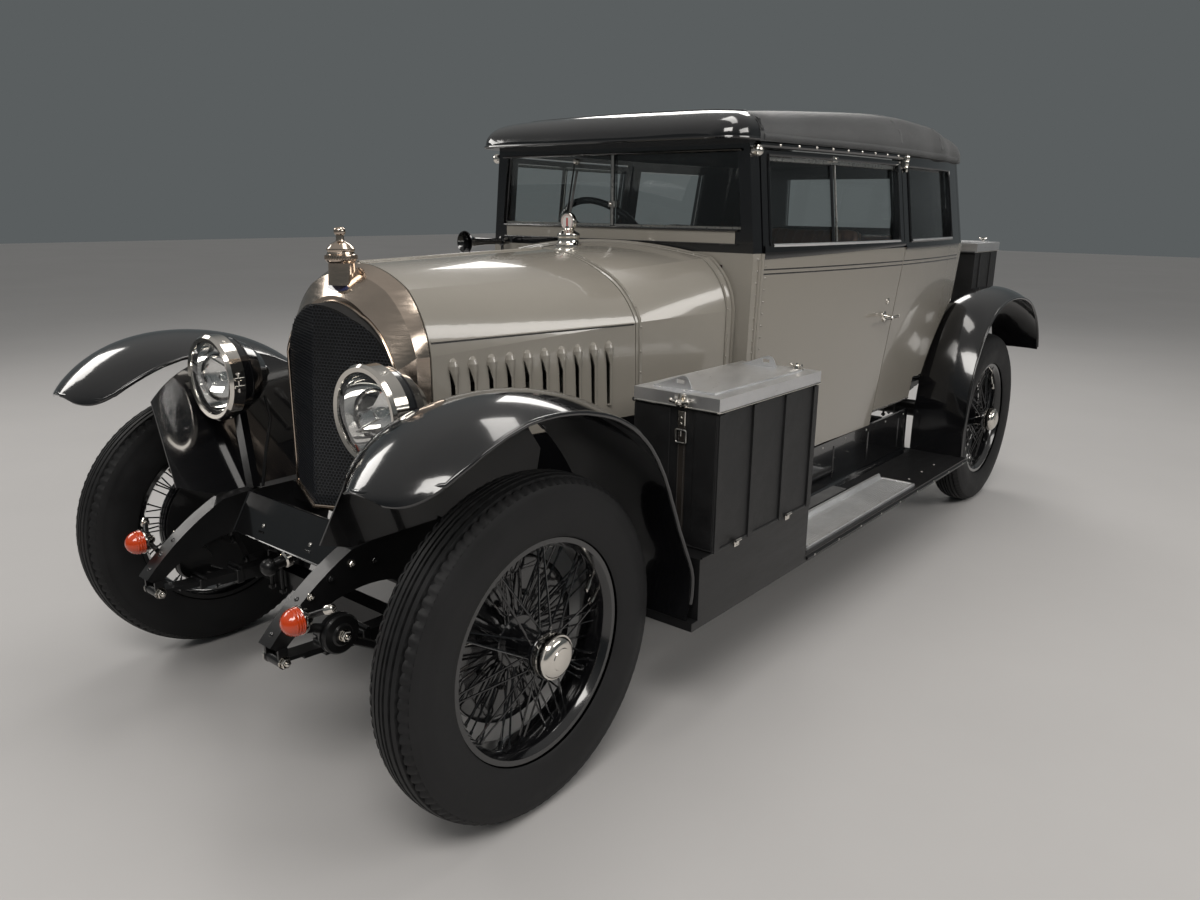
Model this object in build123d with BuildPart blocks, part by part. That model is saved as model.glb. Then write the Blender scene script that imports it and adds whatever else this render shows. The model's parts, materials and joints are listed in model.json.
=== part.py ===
from build123d import *
from math import asin, cos, hypot, pi, radians, sin
import os

# 1920s saloon car, modelled in millimetres with +Z up, the front facing -Y and its left side at +X.
# The origin is on the ground under the middle of the car.
# aft(d) is the place d behind the front axle.

os.makedirs("parts", exist_ok=True)

# Driving dimensions
wheelbase = 2950.0
track = 1300.0
front_overhang = 400.0
rear_overhang = 460.0
wheel_radius = 382.5
tyre_width = 135.0
rim_radius = 249.0
seat_gap = 0.3
move_gap = 5.0

front_axle_y = (front_overhang - wheelbase - rear_overhang) / 2
rear_axle_y = front_axle_y + wheelbase
wheel_x = track / 2


def aft(distance):
    """Place along the car, measured back from the front axle."""
    return front_axle_y + distance


def save(piece, name):
    """Label a finished piece and write it."""
    piece.label = name
    export_step(piece, f"parts/{name}.step")


def dome_point(radius, height):
    """Point half way down a shallow dome: its offset from the axis and its drop from the crown."""
    sphere = (radius ** 2 + height ** 2) / (2 * height)
    half_angle = asin(min(1.0, radius / sphere)) / 2
    return sphere * sin(half_angle), sphere * (1 - cos(half_angle))


def both_sides(piece):
    """The piece and its mirror image across the middle of the car."""
    return Compound(children=[piece, mirror(piece, about=Plane.YZ)])


def block(x0, x1, y0, y1, z0, z1):
    """Box between two corners, made outside the builder that uses it."""
    return Pos((x0 + x1) / 2, (y0 + y1) / 2, (z0 + z1) / 2) * Box(x1 - x0, y1 - y0, z1 - z0, mode=Mode.PRIVATE)


# Wheels
bead_half = 52.0
# Outer profile of half a tyre from bead to crown: half width, radius
tyre_profile = [
    (bead_half, rim_radius + seat_gap),
    (tyre_width / 2 - 1, 292.0),
    (tyre_width / 2, 325.0),
    (50.0, wheel_radius - 14.0),
    (22.0, wheel_radius),
]
rim_half = 49.0
rim_depth = 21.0
hub_radius = 36.0
hub_flange_radius = 60.0
nose_flange_radius = 46.0
hub_inner_x = -58.0
hub_flange_x = -24.0
hub_outer_x = 62.0
cap_radius = 50.0
cap_face_x = 108.0
cap_dome = 14.0
spoke_size = 7.0
spokes_per_row = 20
drum_radius = 188.0
drum_wall = 8.0
drum_inner_x = -72.0
drum_face_x = -36.0
stub_radius = 20.0
stub_length = 50.0

with BuildPart() as tyre:
    with BuildSketch(Plane.XY):
        with BuildLine():
            other_half = [(-half, radius) for half, radius in reversed(tyre_profile)]
            Polyline(*tyre_profile, *other_half, close=True)
        make_face()
    revolve(axis=Axis.X)

# Each row of spokes: hub x, hub radius, rim x, lean in degrees
spoke_rows = [
    (hub_outer_x - 8.0, nose_flange_radius - 4.0, 8.0, 24.0),
    (hub_flange_x - 4.0, hub_flange_radius - 4.0, -6.0, 20.0),
]
rim_well_radius = rim_radius - rim_depth

with BuildPart() as wheel:
    with BuildSketch(Plane.XY):
        with BuildLine():
            Polyline((-rim_half, rim_radius), (rim_half, rim_radius), (rim_half, rim_radius - 10),
                     (rim_half - 18, rim_well_radius), (18 - rim_half, rim_well_radius),
                     (-rim_half, rim_radius - 10), (-rim_half, rim_radius))
        make_face()
    revolve(axis=Axis.X)
    cap_mid_r, cap_mid_drop = dome_point(cap_radius, cap_dome)
    with BuildSketch(Plane.XY):
        with BuildLine():
            Polyline((drum_inner_x, drum_radius), (drum_face_x, drum_radius), (drum_face_x, hub_flange_radius),
                     (hub_flange_x, hub_flange_radius), (hub_flange_x, hub_radius),
                     (hub_outer_x - 12, hub_radius), (hub_outer_x - 12, nose_flange_radius),
                     (hub_outer_x, nose_flange_radius), (hub_outer_x + 8, cap_radius),
                     (cap_face_x - cap_dome, cap_radius))
            ThreePointArc((cap_face_x - cap_dome, cap_radius), (cap_face_x - cap_mid_drop, cap_mid_r), (cap_face_x, 0))
            Polyline((cap_face_x, 0), (stub_length + 1, 0), (stub_length + 1, stub_radius + seat_gap),
                     (hub_inner_x, stub_radius + seat_gap), (hub_inner_x, hub_flange_radius),
                     (drum_face_x - drum_wall, hub_flange_radius),
                     (drum_face_x - drum_wall, drum_radius - drum_wall),
                     (drum_inner_x, drum_radius - drum_wall), (drum_inner_x, drum_radius))
        make_face()
    revolve(axis=Axis.X)
    for hub_x, hub_r, rim_x, lean in spoke_rows:
        for index in range(spokes_per_row):
            side = 1 if index % 2 else -1
            turn = 360.0 * index / spokes_per_row
            start = Vector(hub_x, 0, hub_r)
            end = Vector(rim_x, (rim_well_radius + 4) * sin(radians(side * lean)),
                         (rim_well_radius + 4) * cos(radians(lean)))
            path = (end - start)
            across = Vector(1, 0, 0).cross(path)
            with BuildSketch(Plane(origin=start.rotate(Axis.X, turn), x_dir=across.rotate(Axis.X, turn),
                                   z_dir=path.rotate(Axis.X, turn))):
                Rectangle(spoke_size, spoke_size)
            extrude(amount=path.length)

left_wheel = wheel.part
right_wheel = wheel.part.rotate(Axis.Z, 180)
wheel_places = {
    "front_left": (wheel_x, front_axle_y, left_wheel),
    "front_right": (-wheel_x, front_axle_y, right_wheel),
    "rear_left": (wheel_x, rear_axle_y, left_wheel),
    "rear_right": (-wheel_x, rear_axle_y, right_wheel),
}
for corner, (x, y, wheel_solid) in wheel_places.items():
    place = Location((x, y, wheel_radius))
    save(wheel_solid.moved(place), f"wheel_{corner}")
    save(tyre.part.moved(place), f"tyre_{corner}")

# Knuckles, front axle and tie rod
kingpin_offset = 118.0
kingpin_x = wheel_x - kingpin_offset
kingpin_radius = 12.0
lug_radius = 26.0
lug_thickness = 20.0
boss_radius = 28.0
boss_half = 32.0
lug_gap = 3.0
backplate_x = wheel_x + drum_inner_x - 11.0
backplate_thickness = 6.0
arm_length = 150.0
arm_width = 28.0
arm_thickness = 14.0
ball_radius = 9.0
rod_radius = 10.0
rod_drop = 20.0
rod_eye_radius = 18.0
open_eye_radius = 12.0

lug_top = wheel_radius + boss_half + lug_gap
lug_bottom = wheel_radius - boss_half - lug_gap
arm_bottom = lug_bottom - lug_thickness
rod_z = arm_bottom - rod_drop
steer_y = front_axle_y + arm_length

with BuildPart() as knuckle_left:
    with BuildSketch(Plane.XY.offset(lug_bottom - lug_thickness)):
        with Locations((kingpin_x, front_axle_y)):
            Circle(kingpin_radius)
    extrude(amount=2 * (wheel_radius - lug_bottom + lug_thickness))
    for level in (lug_top, lug_bottom - lug_thickness):
        with BuildSketch(Plane.XY.offset(level)):
            with Locations((kingpin_x, front_axle_y)):
                Circle(lug_radius)
            with Locations(((kingpin_x + backplate_x) / 2, front_axle_y)):
                Rectangle(backplate_x - kingpin_x, 2 * lug_radius)
        extrude(amount=lug_thickness)
    with BuildSketch(Plane.YZ.offset(backplate_x)):
        with Locations((front_axle_y, wheel_radius)):
            Circle(drum_radius - 3)
    extrude(amount=backplate_thickness)
    with BuildSketch(Plane.YZ.offset(backplate_x)):
        with Locations((front_axle_y, wheel_radius)):
            Circle(stub_radius)
    extrude(amount=wheel_x + stub_length - backplate_x)
    with BuildSketch(Plane.XY.offset(arm_bottom)):
        with Locations((kingpin_x, front_axle_y + arm_length / 2)):
            Rectangle(arm_width, arm_length)
        with Locations((kingpin_x, steer_y)):
            Circle(arm_width / 2)
    extrude(amount=arm_thickness)
    with BuildSketch(Plane.XY.offset(rod_z - rod_eye_radius / 2)):
        with Locations((kingpin_x, steer_y)):
            Circle(ball_radius)
    extrude(amount=arm_bottom - rod_z + rod_eye_radius / 2)
save(knuckle_left.part, "knuckle_left")
save(mirror(knuckle_left.part, about=Plane.YZ), "knuckle_right")

with BuildPart() as tie_rod:
    with BuildSketch(Plane.YZ.offset(-kingpin_x)):
        with Locations((steer_y, rod_z)):
            Circle(rod_radius)
    extrude(amount=2 * kingpin_x)
    with BuildSketch(Plane.XY.offset(rod_z - rod_eye_radius / 2 - 1)):
        with Locations((kingpin_x, steer_y), (-kingpin_x, steer_y)):
            Circle(rod_eye_radius)
    extrude(amount=rod_eye_radius + 2)
    with BuildSketch(Plane.XY.offset(rod_z - 2 * rod_eye_radius)):
        with Locations((kingpin_x, steer_y)):
            Circle(ball_radius + seat_gap)
        with Locations((-kingpin_x, steer_y)):
            Circle(open_eye_radius)
    extrude(amount=4 * rod_eye_radius, mode=Mode.SUBTRACT)
save(tie_rod.part, "tie_rod")

beam_drop = 64.5
beam_top = wheel_radius - beam_drop
beam_height = 50.0
beam_half_width = 24.0
beam_flat_half = 425.0
beam_end_x = kingpin_x - 20.0

with BuildPart() as front_axle:
    with BuildSketch(Plane.XZ.offset(-front_axle_y - beam_half_width)):
        with BuildLine():
            Polyline((beam_end_x, wheel_radius + 22), (beam_flat_half, beam_top), (-beam_flat_half, beam_top),
                     (-beam_end_x, wheel_radius + 22), (-beam_end_x, wheel_radius - 22),
                     (-beam_flat_half, beam_top - beam_height), (beam_flat_half, beam_top - beam_height),
                     (beam_end_x, wheel_radius - 22), (beam_end_x, wheel_radius + 22))
        make_face()
    extrude(amount=2 * beam_half_width)
    with BuildSketch(Plane.XY.offset(wheel_radius - boss_half)):
        with Locations((kingpin_x, front_axle_y), (-kingpin_x, front_axle_y)):
            Circle(boss_radius)
    extrude(amount=2 * boss_half)
    with BuildSketch(Plane.XY.offset(wheel_radius - 2 * boss_half)):
        with Locations((kingpin_x, front_axle_y), (-kingpin_x, front_axle_y)):
            Circle(kingpin_radius + seat_gap)
    extrude(amount=4 * boss_half, mode=Mode.SUBTRACT)
save(front_axle.part, "front_axle")

# Rear axle with its differential and torque tube
axle_tube_radius = 38.0
differential_radius = 125.0
differential_half = 75.0
torque_tube_radius = 40.0
gearbox_back = 1300.0

with BuildPart() as rear_axle:
    with BuildSketch(Plane.YZ.offset(-backplate_x)):
        with Locations((rear_axle_y, wheel_radius)):
            Circle(axle_tube_radius)
    extrude(amount=2 * backplate_x)
    with BuildSketch(Plane.YZ.offset(-wheel_x - stub_length)):
        with Locations((rear_axle_y, wheel_radius)):
            Circle(stub_radius)
    extrude(amount=2 * (wheel_x + stub_length))
    for face_x in (backplate_x, -backplate_x - backplate_thickness):
        with BuildSketch(Plane.YZ.offset(face_x)):
            with Locations((rear_axle_y, wheel_radius)):
                Circle(drum_radius - 3)
        extrude(amount=backplate_thickness)
    with BuildSketch(Plane.YZ.offset(-differential_half)):
        with Locations((rear_axle_y, wheel_radius)):
            Circle(differential_radius)
    extrude(amount=2 * differential_half)
    with BuildSketch(Plane.XZ.offset(-rear_axle_y)):
        with Locations((0, wheel_radius)):
            Circle(torque_tube_radius)
    extrude(amount=rear_axle_y - aft(gearbox_back))
save(rear_axle.part, "rear_axle")

# Chassis rails with their dumb irons
rail_inner_x = 248.0
rail_width = 45.0
rail_outer_x = rail_inner_x + rail_width
rail_top = 566.0
rail_depth = 111.0
rail_bottom = rail_top - rail_depth
rear_rail_top = 645.0
rear_rail_bottom = 560.0
spring_x = rail_inner_x + rail_width / 2
spring_width = 42.0
spring_pin_radius = 7.0
eye_radius = 14.0
cheek_thickness = 6.0
front_eye = (aft(-362), 364.0)
front_shackle = (aft(470), 395.0)
rear_front_eye = (rear_axle_y - 570, 438.0)
rear_shackle = (rear_axle_y + 400, 470.0)

with BuildPart() as rail:
    with BuildSketch(Plane.YZ.offset(rail_inner_x)):
        with BuildLine():
            ThreePointArc((aft(-388), 404), (aft(-290), 492), (aft(-176), rail_top - 6))
            Polyline((aft(-176), rail_top - 6), (aft(-120), rail_top), (rear_axle_y - 640, rail_top),
                     (rear_axle_y - 400, rear_rail_top), (rear_axle_y + 120, rear_rail_top),
                     (rear_axle_y + 420, rear_rail_top - 40), (rear_axle_y + 420, rear_rail_bottom - 20),
                     (rear_axle_y + 100, rear_rail_bottom), (rear_axle_y - 380, rear_rail_bottom),
                     (rear_axle_y - 600, rail_bottom), (aft(-60), rail_bottom))
            ThreePointArc((aft(-60), rail_bottom), (aft(-220), 458), (aft(-362), 382))
            Line((aft(-362), 382), (aft(-388), 404))
        make_face()
    extrude(amount=rail_width)
    # Cheeks and pins that carry the spring eyes
    for eye_y, eye_z, reach in ((*front_eye, 30.0), (*front_shackle, 90.0),
                                (*rear_front_eye, 60.0), (*rear_shackle, 110.0)):
        for cheek_x in (spring_x - spring_width / 2 - seat_gap - cheek_thickness,
                        spring_x + spring_width / 2 + seat_gap):
            with BuildSketch(Plane.YZ.offset(cheek_x)):
                with Locations((eye_y, eye_z)):
                    Circle(eye_radius)
                with Locations((eye_y, eye_z + reach / 2)):
                    Rectangle(1.6 * eye_radius, reach)
            extrude(amount=cheek_thickness)
        with BuildSketch(Plane.YZ.offset(spring_x - spring_width / 2 - cheek_thickness)):
            with Locations((eye_y, eye_z)):
                Circle(spring_pin_radius)
        extrude(amount=spring_width + 2 * cheek_thickness)
save(both_sides(rail.part), "frame_rails")

# Cross members: distance behind the front axle, height of the middle, depth, length along the car
cross_members = [
    (-60.0, 500.0, 44.0, 44.0),
    (60.0, 540.0, 50.0, 70.0),
    (1330.0, 520.0, 70.0, 60.0),
    (wheelbase - 620.0, 520.0, 70.0, 60.0),
    (wheelbase + 100.0, 605.0, 60.0, 60.0),
    (wheelbase + 330.0, 590.0, 60.0, 60.0),
]
with BuildPart() as cross:
    for distance, height, depth, length in cross_members:
        with Locations((0, aft(distance), height)):
            Box(2 * rail_inner_x, length, depth)
save(cross.part, "cross_members")

# Leaf springs: each leaf under the main one is shorter than the one above
main_leaf = 8.0
leaf_reach = 0.86


def spring_outline(front, back, middle_y, middle_z, pack, leaves):
    """Side outline of a pack of leaves between two eyes, flat where it sits on the axle."""
    (y0, z0), (y1, z1) = front, back
    z0, z1, top = z0 + main_leaf / 2, z1 + main_leaf / 2, middle_z + pack

    def line_z(y):
        return (z0 * (y - middle_y) * (y - y1) / ((y0 - middle_y) * (y0 - y1))
                + top * (y - y0) * (y - y1) / ((middle_y - y0) * (middle_y - y1))
                + z1 * (y - y0) * (y - middle_y) / ((y1 - y0) * (y1 - middle_y)))

    step = (pack - main_leaf) / (leaves - 1)
    outline = []
    for end_y in (y0, y1):
        side = []
        for leaf in range(leaves):
            depth = main_leaf + step * leaf
            for share in (1 - leaf_reach * leaf / leaves, 1 - leaf_reach * (leaf + 1) / leaves):
                y = middle_y + (end_y - middle_y) * share
                side.append((y, line_z(y) - depth))
        side[-1] = (middle_y + (30 if end_y > middle_y else -30), middle_z)
        outline += side if end_y == y0 else side[::-1]
    with BuildLine(mode=Mode.PRIVATE) as edge:
        Spline((y0, z0), (middle_y, top), (y1, z1))
        Polyline((y0, z0), *outline, (y1, z1))
    return edge.line


with BuildPart() as springs:
    for front, back, middle_y, middle_z, pack, leaves in (
        (front_eye, front_shackle, front_axle_y, beam_top + seat_gap, 36.0, 6),
        (rear_front_eye, rear_shackle, rear_axle_y, wheel_radius + axle_tube_radius + seat_gap, 44.0, 7),
    ):
        with BuildSketch(Plane.YZ.offset(spring_x - spring_width / 2)):
            with BuildLine():
                add(spring_outline(front, back, middle_y, middle_z, pack, leaves))
            make_face()
            with Locations(front, back):
                Circle(eye_radius - 1)
            with Locations(front, back):
                Circle(spring_pin_radius + seat_gap, mode=Mode.SUBTRACT)
        extrude(amount=spring_width)
save(both_sides(springs.part), "leaf_springs")

# Engine and gearbox as one block
sump_clearance = 32.5
engine_top_z = 940.0
engine_foot_z = rod_z + rod_radius + sump_clearance
with BuildPart() as engine:
    with Locations((0, aft(430), (engine_foot_z + engine_top_z) / 2)):
        Box(330, 580, engine_top_z - engine_foot_z)
    with Locations((0, aft(1010), 470)):
        Box(230, 2 * (gearbox_back - seat_gap - 1010), 180)
save(engine.part, "engine_block")

# Radiator, bonnet and scuttle share one family of cross sections
# Section columns: crown height, crown mid x and z, shoulder x and z, shoulder mid x and z, side x and z, foot x
section_shapes = {
    "radiator_front": (1080, 60, 1071, 112, 1045, 178, 1000, 226, 922, 226),
    "radiator_mid": (1134, 80, 1124, 148, 1098, 212, 1035, 250, 950, 253),
    "radiator_back": (1155, 100, 1139, 182, 1101, 232, 1030, 255, 950, 262),
    "bonnet_back": (1171, 130, 1153, 236, 1113, 311, 1061, 363, 982, 371),
    "scuttle_back": (1187, 210, 1181, 395, 1152, 455, 1090, 484, 1001, 481),
}


def section(shape, y, foot_z, inset=0.0):
    """Face of one cross section at a place along the car, drawn inside by the inset."""
    crown, crown_x, crown_z, shoulder_x, shoulder_z, mid_x, mid_z, side_x, side_z, foot_x = section_shapes[shape]
    drop = inset * 0.75
    with BuildSketch(Plane.XZ.offset(-y), mode=Mode.PRIVATE) as outline:
        with BuildLine():
            ThreePointArc((shoulder_x - drop, shoulder_z - drop), (0, crown - inset),
                          (drop - shoulder_x, shoulder_z - drop))
            ThreePointArc((drop - shoulder_x, shoulder_z - drop), (drop - mid_x, mid_z - drop),
                          (inset - side_x, side_z))
            Polyline((inset - side_x, side_z), (inset - foot_x, foot_z), (foot_x - inset, foot_z),
                     (side_x - inset, side_z))
            ThreePointArc((side_x - inset, side_z), (mid_x - drop, mid_z - drop),
                          (shoulder_x - drop, shoulder_z - drop))
        make_face()
    return outline.sketch


radiator_front_y = aft(24)
radiator_mid_y = aft(62)
radiator_back_y = aft(98)
bonnet_front_y = radiator_back_y + move_gap
bonnet_back_y = aft(748)
scuttle_front_y = bonnet_back_y + move_gap
scuttle_back_y = aft(1080)
front_foot_z = rail_top
bonnet_foot_z = 720.0

# Radiator core: a V in plan, its ridge leaning forward at the foot
core_half = 216.0
core_front_y = aft(30)
ridge_foot_y = aft(-68)
ridge_top_y = aft(-34)
core_foot_z = 572.0
core_top_z = 1064.0
core_corner_z = 922.0
core_back_y = aft(94)


def core_outline(clearance):
    with BuildSketch(Plane.XZ.offset(-aft(130)), mode=Mode.PRIVATE) as outline:
        with BuildLine():
            Polyline((-core_half - clearance, core_corner_z), (-core_half - clearance, core_foot_z),
                     (core_half + clearance, core_foot_z), (core_half + clearance, core_corner_z))
            ThreePointArc((core_half + clearance, core_corner_z), (168, 997 + clearance), (103, 1036 + clearance))
            ThreePointArc((103, 1036 + clearance), (0, core_top_z + clearance), (-103, 1036 + clearance))
            ThreePointArc((-103, 1036 + clearance), (-168, 997 + clearance), (-core_half - clearance, core_corner_z))
        make_face()
    return outline.sketch


with BuildPart() as core:
    for level, ridge_y in ((core_foot_z, ridge_foot_y), (core_top_z + 12, ridge_top_y)):
        with BuildSketch(Plane.XY.offset(level)):
            with BuildLine():
                Polyline((-core_half - 10, core_back_y), (-core_half - 10, core_front_y), (0, ridge_y),
                         (core_half + 10, core_front_y), (core_half + 10, core_back_y),
                         (-core_half - 10, core_back_y))
            make_face()
    loft(ruled=True)
    extrude(core_outline(0), amount=320, mode=Mode.INTERSECT)
save(core.part, "radiator_core")

lip_height = 6.0
lip_reach = 10.0
with BuildPart() as shell:
    add(section("radiator_front", radiator_front_y, front_foot_z))
    add(section("radiator_mid", radiator_mid_y, front_foot_z))
    add(section("radiator_back", radiator_back_y, front_foot_z))
    loft(ruled=True)
    extrude(core_outline(seat_gap), amount=320, mode=Mode.SUBTRACT)
    # Lip that follows the V of the core under its foot
    with BuildSketch(Plane.XY.offset(core_foot_z - seat_gap - lip_height)):
        with BuildLine():
            Polyline((-core_half - lip_reach, core_back_y), (-core_half - lip_reach, core_front_y - lip_reach),
                     (0, ridge_foot_y - lip_reach), (core_half + lip_reach, core_front_y - lip_reach),
                     (core_half + lip_reach, core_back_y), close=True)
        make_face()
    extrude(amount=lip_height)
save(shell.part, "radiator_shell")

# Filler caps on the radiator and the scuttle
with BuildPart() as radiator_cap:
    with BuildSketch(Plane.YZ):
        with BuildLine():
            cap_y = aft(50)
            Polyline((cap_y, 1120), (cap_y, 1262), (cap_y + 9, 1258), (cap_y + 9, 1246), (cap_y + 7, 1240),
                     (cap_y + 8, 1214), (cap_y + 30, 1204), (cap_y + 38, 1192), (cap_y + 38, 1176),
                     (cap_y + 31, 1172), (cap_y + 31, 1120), (cap_y, 1120))
        make_face()
    revolve(axis=Axis((0, aft(50), 0), (0, 0, 1)))
    add(shell.part, mode=Mode.SUBTRACT)
with BuildPart() as gauge_cap:
    with Locations((0, aft(880), 1190)):
        Cylinder(30, 40)
    with Locations((0, aft(880), 1215)):
        Cylinder(12, 30)
    with Locations(Location((0, aft(880), 1248), (90, 0, 0))):
        Cylinder(28, 16)

# Bonnet halves, hinged on a rod along the middle
bonnet_wall = 4.0
hinge_rod_radius = 5.0
bonnet_half_gap = hinge_rod_radius + seat_gap
# The rod's middle lies at the crown's height, so the opened halves stay clear of each other

# Louvres: upright scoops on the bonnet's sides, full at the head and open in front of the stem
louvre_count = 10
louvre_front = 160.0
louvre_back = 650.0
louvre_top_z = 942.0
louvre_height = 187.0
louvre_wall = 2.0
louvre_root = 1.5
# Half outline of a louvre from its head down: share of the height, bulge
louvre_outline = [
    (0.0, 0.0),
    (0.012, 6.0),
    (0.045, 11.0),
    (0.105, 14.5),
    (0.2, 14.0),
    (0.36, 11.0),
    (0.96, 9.0),
    (1.0, 0.0),
]
# Opening in the panel under each louvre: share of the height, front edge, back edge
louvre_opening = [
    (0.17, -11.5, -9.0),
    (0.36, -9.0, 6.0),
    (0.94, -8.0, 6.0),
]
# Free edge of each louvre, cut back from the front: share of the height, place along the bonnet
louvre_edge = [
    (0.15, -40.0),
    (0.15, -12.5),
    (0.36, -2.0),
    (0.94, -2.0),
    (0.94, -40.0),
]


def louvre_form(inset):
    """Half of a turned form: upright along Y, bulging towards +Z."""
    points = [(min(0.0, inset - bulge), -inset - share * (louvre_height - 2 * inset))
              for share, bulge in louvre_outline]
    with BuildPart(mode=Mode.PRIVATE) as form:
        with BuildSketch():
            with BuildLine():
                Polyline(*points, close=True)
            make_face()
        revolve(axis=Axis((0, 0, 0), (0, 1, 0)), revolution_arc=180)
    return form.part


with BuildPart() as louvre:
    add(louvre_form(0.0))
    add(louvre_form(louvre_wall), mode=Mode.SUBTRACT)
    with BuildSketch(Plane.XY.offset(-1)):
        with BuildLine():
            Polyline(*[(place, -share * louvre_height) for share, place in louvre_edge], close=True)
        make_face()
    extrude(amount=40, mode=Mode.SUBTRACT)
with BuildPart() as louvre_hole:
    with BuildSketch(Plane.XY.offset(-3 * bonnet_wall)):
        with BuildLine():
            Polyline(*[(near, -share * louvre_height) for share, near, far in louvre_opening],
                     *[(far, -share * louvre_height) for share, near, far in reversed(louvre_opening)], close=True)
        make_face()
    extrude(amount=3 * bonnet_wall + louvre_root + 0.5)


def bonnet_side(y, z):
    """Half width of the bonnet's side at one place and level."""
    share = (y - bonnet_front_y) / (bonnet_back_y - bonnet_front_y)
    front, back = section_shapes["radiator_back"], section_shapes["bonnet_back"]
    top_x, top_z, foot_x = (front[i] + (back[i] - front[i]) * share for i in (7, 8, 9))
    return foot_x + (top_x - foot_x) * (z - bonnet_foot_z) / (top_z - bonnet_foot_z)


louvre_solids = []
louvre_holes = []
for index in range(louvre_count):
    louvre_y = aft(louvre_front + (louvre_back - louvre_front) * index / (louvre_count - 1))
    head = Vector(bonnet_side(louvre_y, louvre_top_z), louvre_y, louvre_top_z)
    foot = Vector(bonnet_side(louvre_y, louvre_top_z - louvre_height), louvre_y, louvre_top_z - louvre_height)
    along = Vector(bonnet_side(louvre_y + 10, louvre_top_z) - head.X, 10, 0).normalized()
    outward = along.cross((head - foot).normalized()).normalized()
    place = Plane(origin=head - outward * louvre_root, x_dir=along, z_dir=outward).location
    louvre_solids.append(louvre.part.moved(place))
    louvre_holes.append(louvre_hole.part.moved(place))
louvre_solids += [mirror(piece, about=Plane.YZ) for piece in louvre_solids]
louvre_holes += [mirror(piece, about=Plane.YZ) for piece in louvre_holes]

with BuildPart() as bonnet:
    add(section("radiator_back", bonnet_front_y, bonnet_foot_z))
    add(section("bonnet_back", bonnet_back_y, bonnet_foot_z))
    loft(ruled=True)
    with BuildPart(mode=Mode.PRIVATE) as bonnet_inside:
        add(section("radiator_back", bonnet_front_y - 1, bonnet_foot_z - 10, bonnet_wall))
        add(section("bonnet_back", bonnet_back_y + 1, bonnet_foot_z - 10, bonnet_wall))
        loft(ruled=True)
    add(bonnet_inside.part, mode=Mode.SUBTRACT)
    with Locations((0, (bonnet_front_y + bonnet_back_y) / 2, 900)):
        Box(2 * bonnet_half_gap, 800, 800, mode=Mode.SUBTRACT)
    add(louvre_holes, mode=Mode.SUBTRACT)
    add(louvre_solids)
halves = bonnet.part.solids().sort_by(Axis.X)
save(Part() + halves[-1], "bonnet_left")
save(Part() + halves[0], "bonnet_right")

# Scuttle: a closed box behind the bonnet, open to the cabin, with the hinge rod in front of it
scuttle_wall = 8.0
with BuildPart() as scuttle:
    add(section("bonnet_back", scuttle_front_y, rail_top))
    add(section("scuttle_back", scuttle_back_y, rail_top))
    loft(ruled=True)
    with BuildPart(mode=Mode.PRIVATE) as scuttle_inside:
        add(section("bonnet_back", scuttle_front_y + scuttle_wall, rail_top + scuttle_wall, scuttle_wall))
        add(section("scuttle_back", scuttle_back_y + 1, rail_top + scuttle_wall, scuttle_wall))
        loft(ruled=True)
    add(scuttle_inside.part, mode=Mode.SUBTRACT)
save(scuttle.part, "scuttle")
with BuildPart() as gauge_seated:
    add(gauge_cap.part)
    add(scuttle.part, mode=Mode.SUBTRACT)
    add(scuttle_inside.part, mode=Mode.SUBTRACT)
save(Compound(children=[radiator_cap.part, gauge_seated.part]), "filler_caps")

hinge_front = (0, radiator_back_y + seat_gap, section_shapes["radiator_back"][0])
hinge_back = (0, scuttle_front_y - seat_gap, section_shapes["bonnet_back"][0])
hinge_line = Vector(*hinge_back) - Vector(*hinge_front)
with BuildPart() as hinge_rod:
    with BuildSketch(Plane(origin=hinge_front, z_dir=hinge_line)):
        Circle(hinge_rod_radius)
    extrude(amount=hinge_line.length)
save(hinge_rod.part, "bonnet_hinge")

# Body: outline in plan at three levels
# Columns: level, half width at the front, at the middle pillar and at the back corner
body_foot = (508.0, 522.0, 572.0, 562.0)
body_belt = (1150.0, 534.0, 645.0, 618.0)
body_top = (1480.0, 502.0, 598.0, 562.0)
body_front_y = scuttle_back_y + move_gap
body_mid_y = aft(1900)
body_back_y = rear_axle_y - 170
corner_radius = 170.0
body_wall = 35.0
door_wall = 30.0
front_wall = 30.0
screen_sill_z = 1190.0
floor_z = rail_top
floor_thickness = 14.0
raised_floor_z = rear_rail_top
raised_floor_y = rear_axle_y - 640


def plan(level, front_half, mid_half, back_half, inset=0.0, front_inset=0.0):
    """Face of the body's outline in plan at one level, drawn inside by the inset."""
    front = body_front_y + front_inset
    back = body_back_y - inset
    corner = corner_radius - inset
    corner_y = back - corner
    front_half, mid_half, back_half = front_half - inset, mid_half - inset, back_half - inset
    with BuildSketch(Plane.XY.offset(level), mode=Mode.PRIVATE) as outline:
        with BuildLine():
            Line((-front_half, front), (front_half, front))
            ThreePointArc((front_half, front), (mid_half, body_mid_y), (back_half, corner_y))
            ThreePointArc((back_half, corner_y), (back_half - corner * (1 - cos(pi / 4)), corner_y + corner * sin(pi / 4)),
                          (back_half - corner, back))
            Line((back_half - corner, back), (corner - back_half, back))
            ThreePointArc((corner - back_half, back),
                          (corner * (1 - cos(pi / 4)) - back_half, corner_y + corner * sin(pi / 4)),
                          (-back_half, corner_y))
            ThreePointArc((-back_half, corner_y), (-mid_half, body_mid_y), (-front_half, front))
        make_face()
    return outline.sketch


def body_form(inset=0.0, front_inset=0.0):
    """The body's outer form, or a smaller one inside it."""
    with BuildPart(mode=Mode.PRIVATE) as form:
        for level in (body_foot, body_belt, body_top):
            add(plan(*level, inset=inset, front_inset=front_inset))
        loft(ruled=True)
    return form.part


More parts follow.
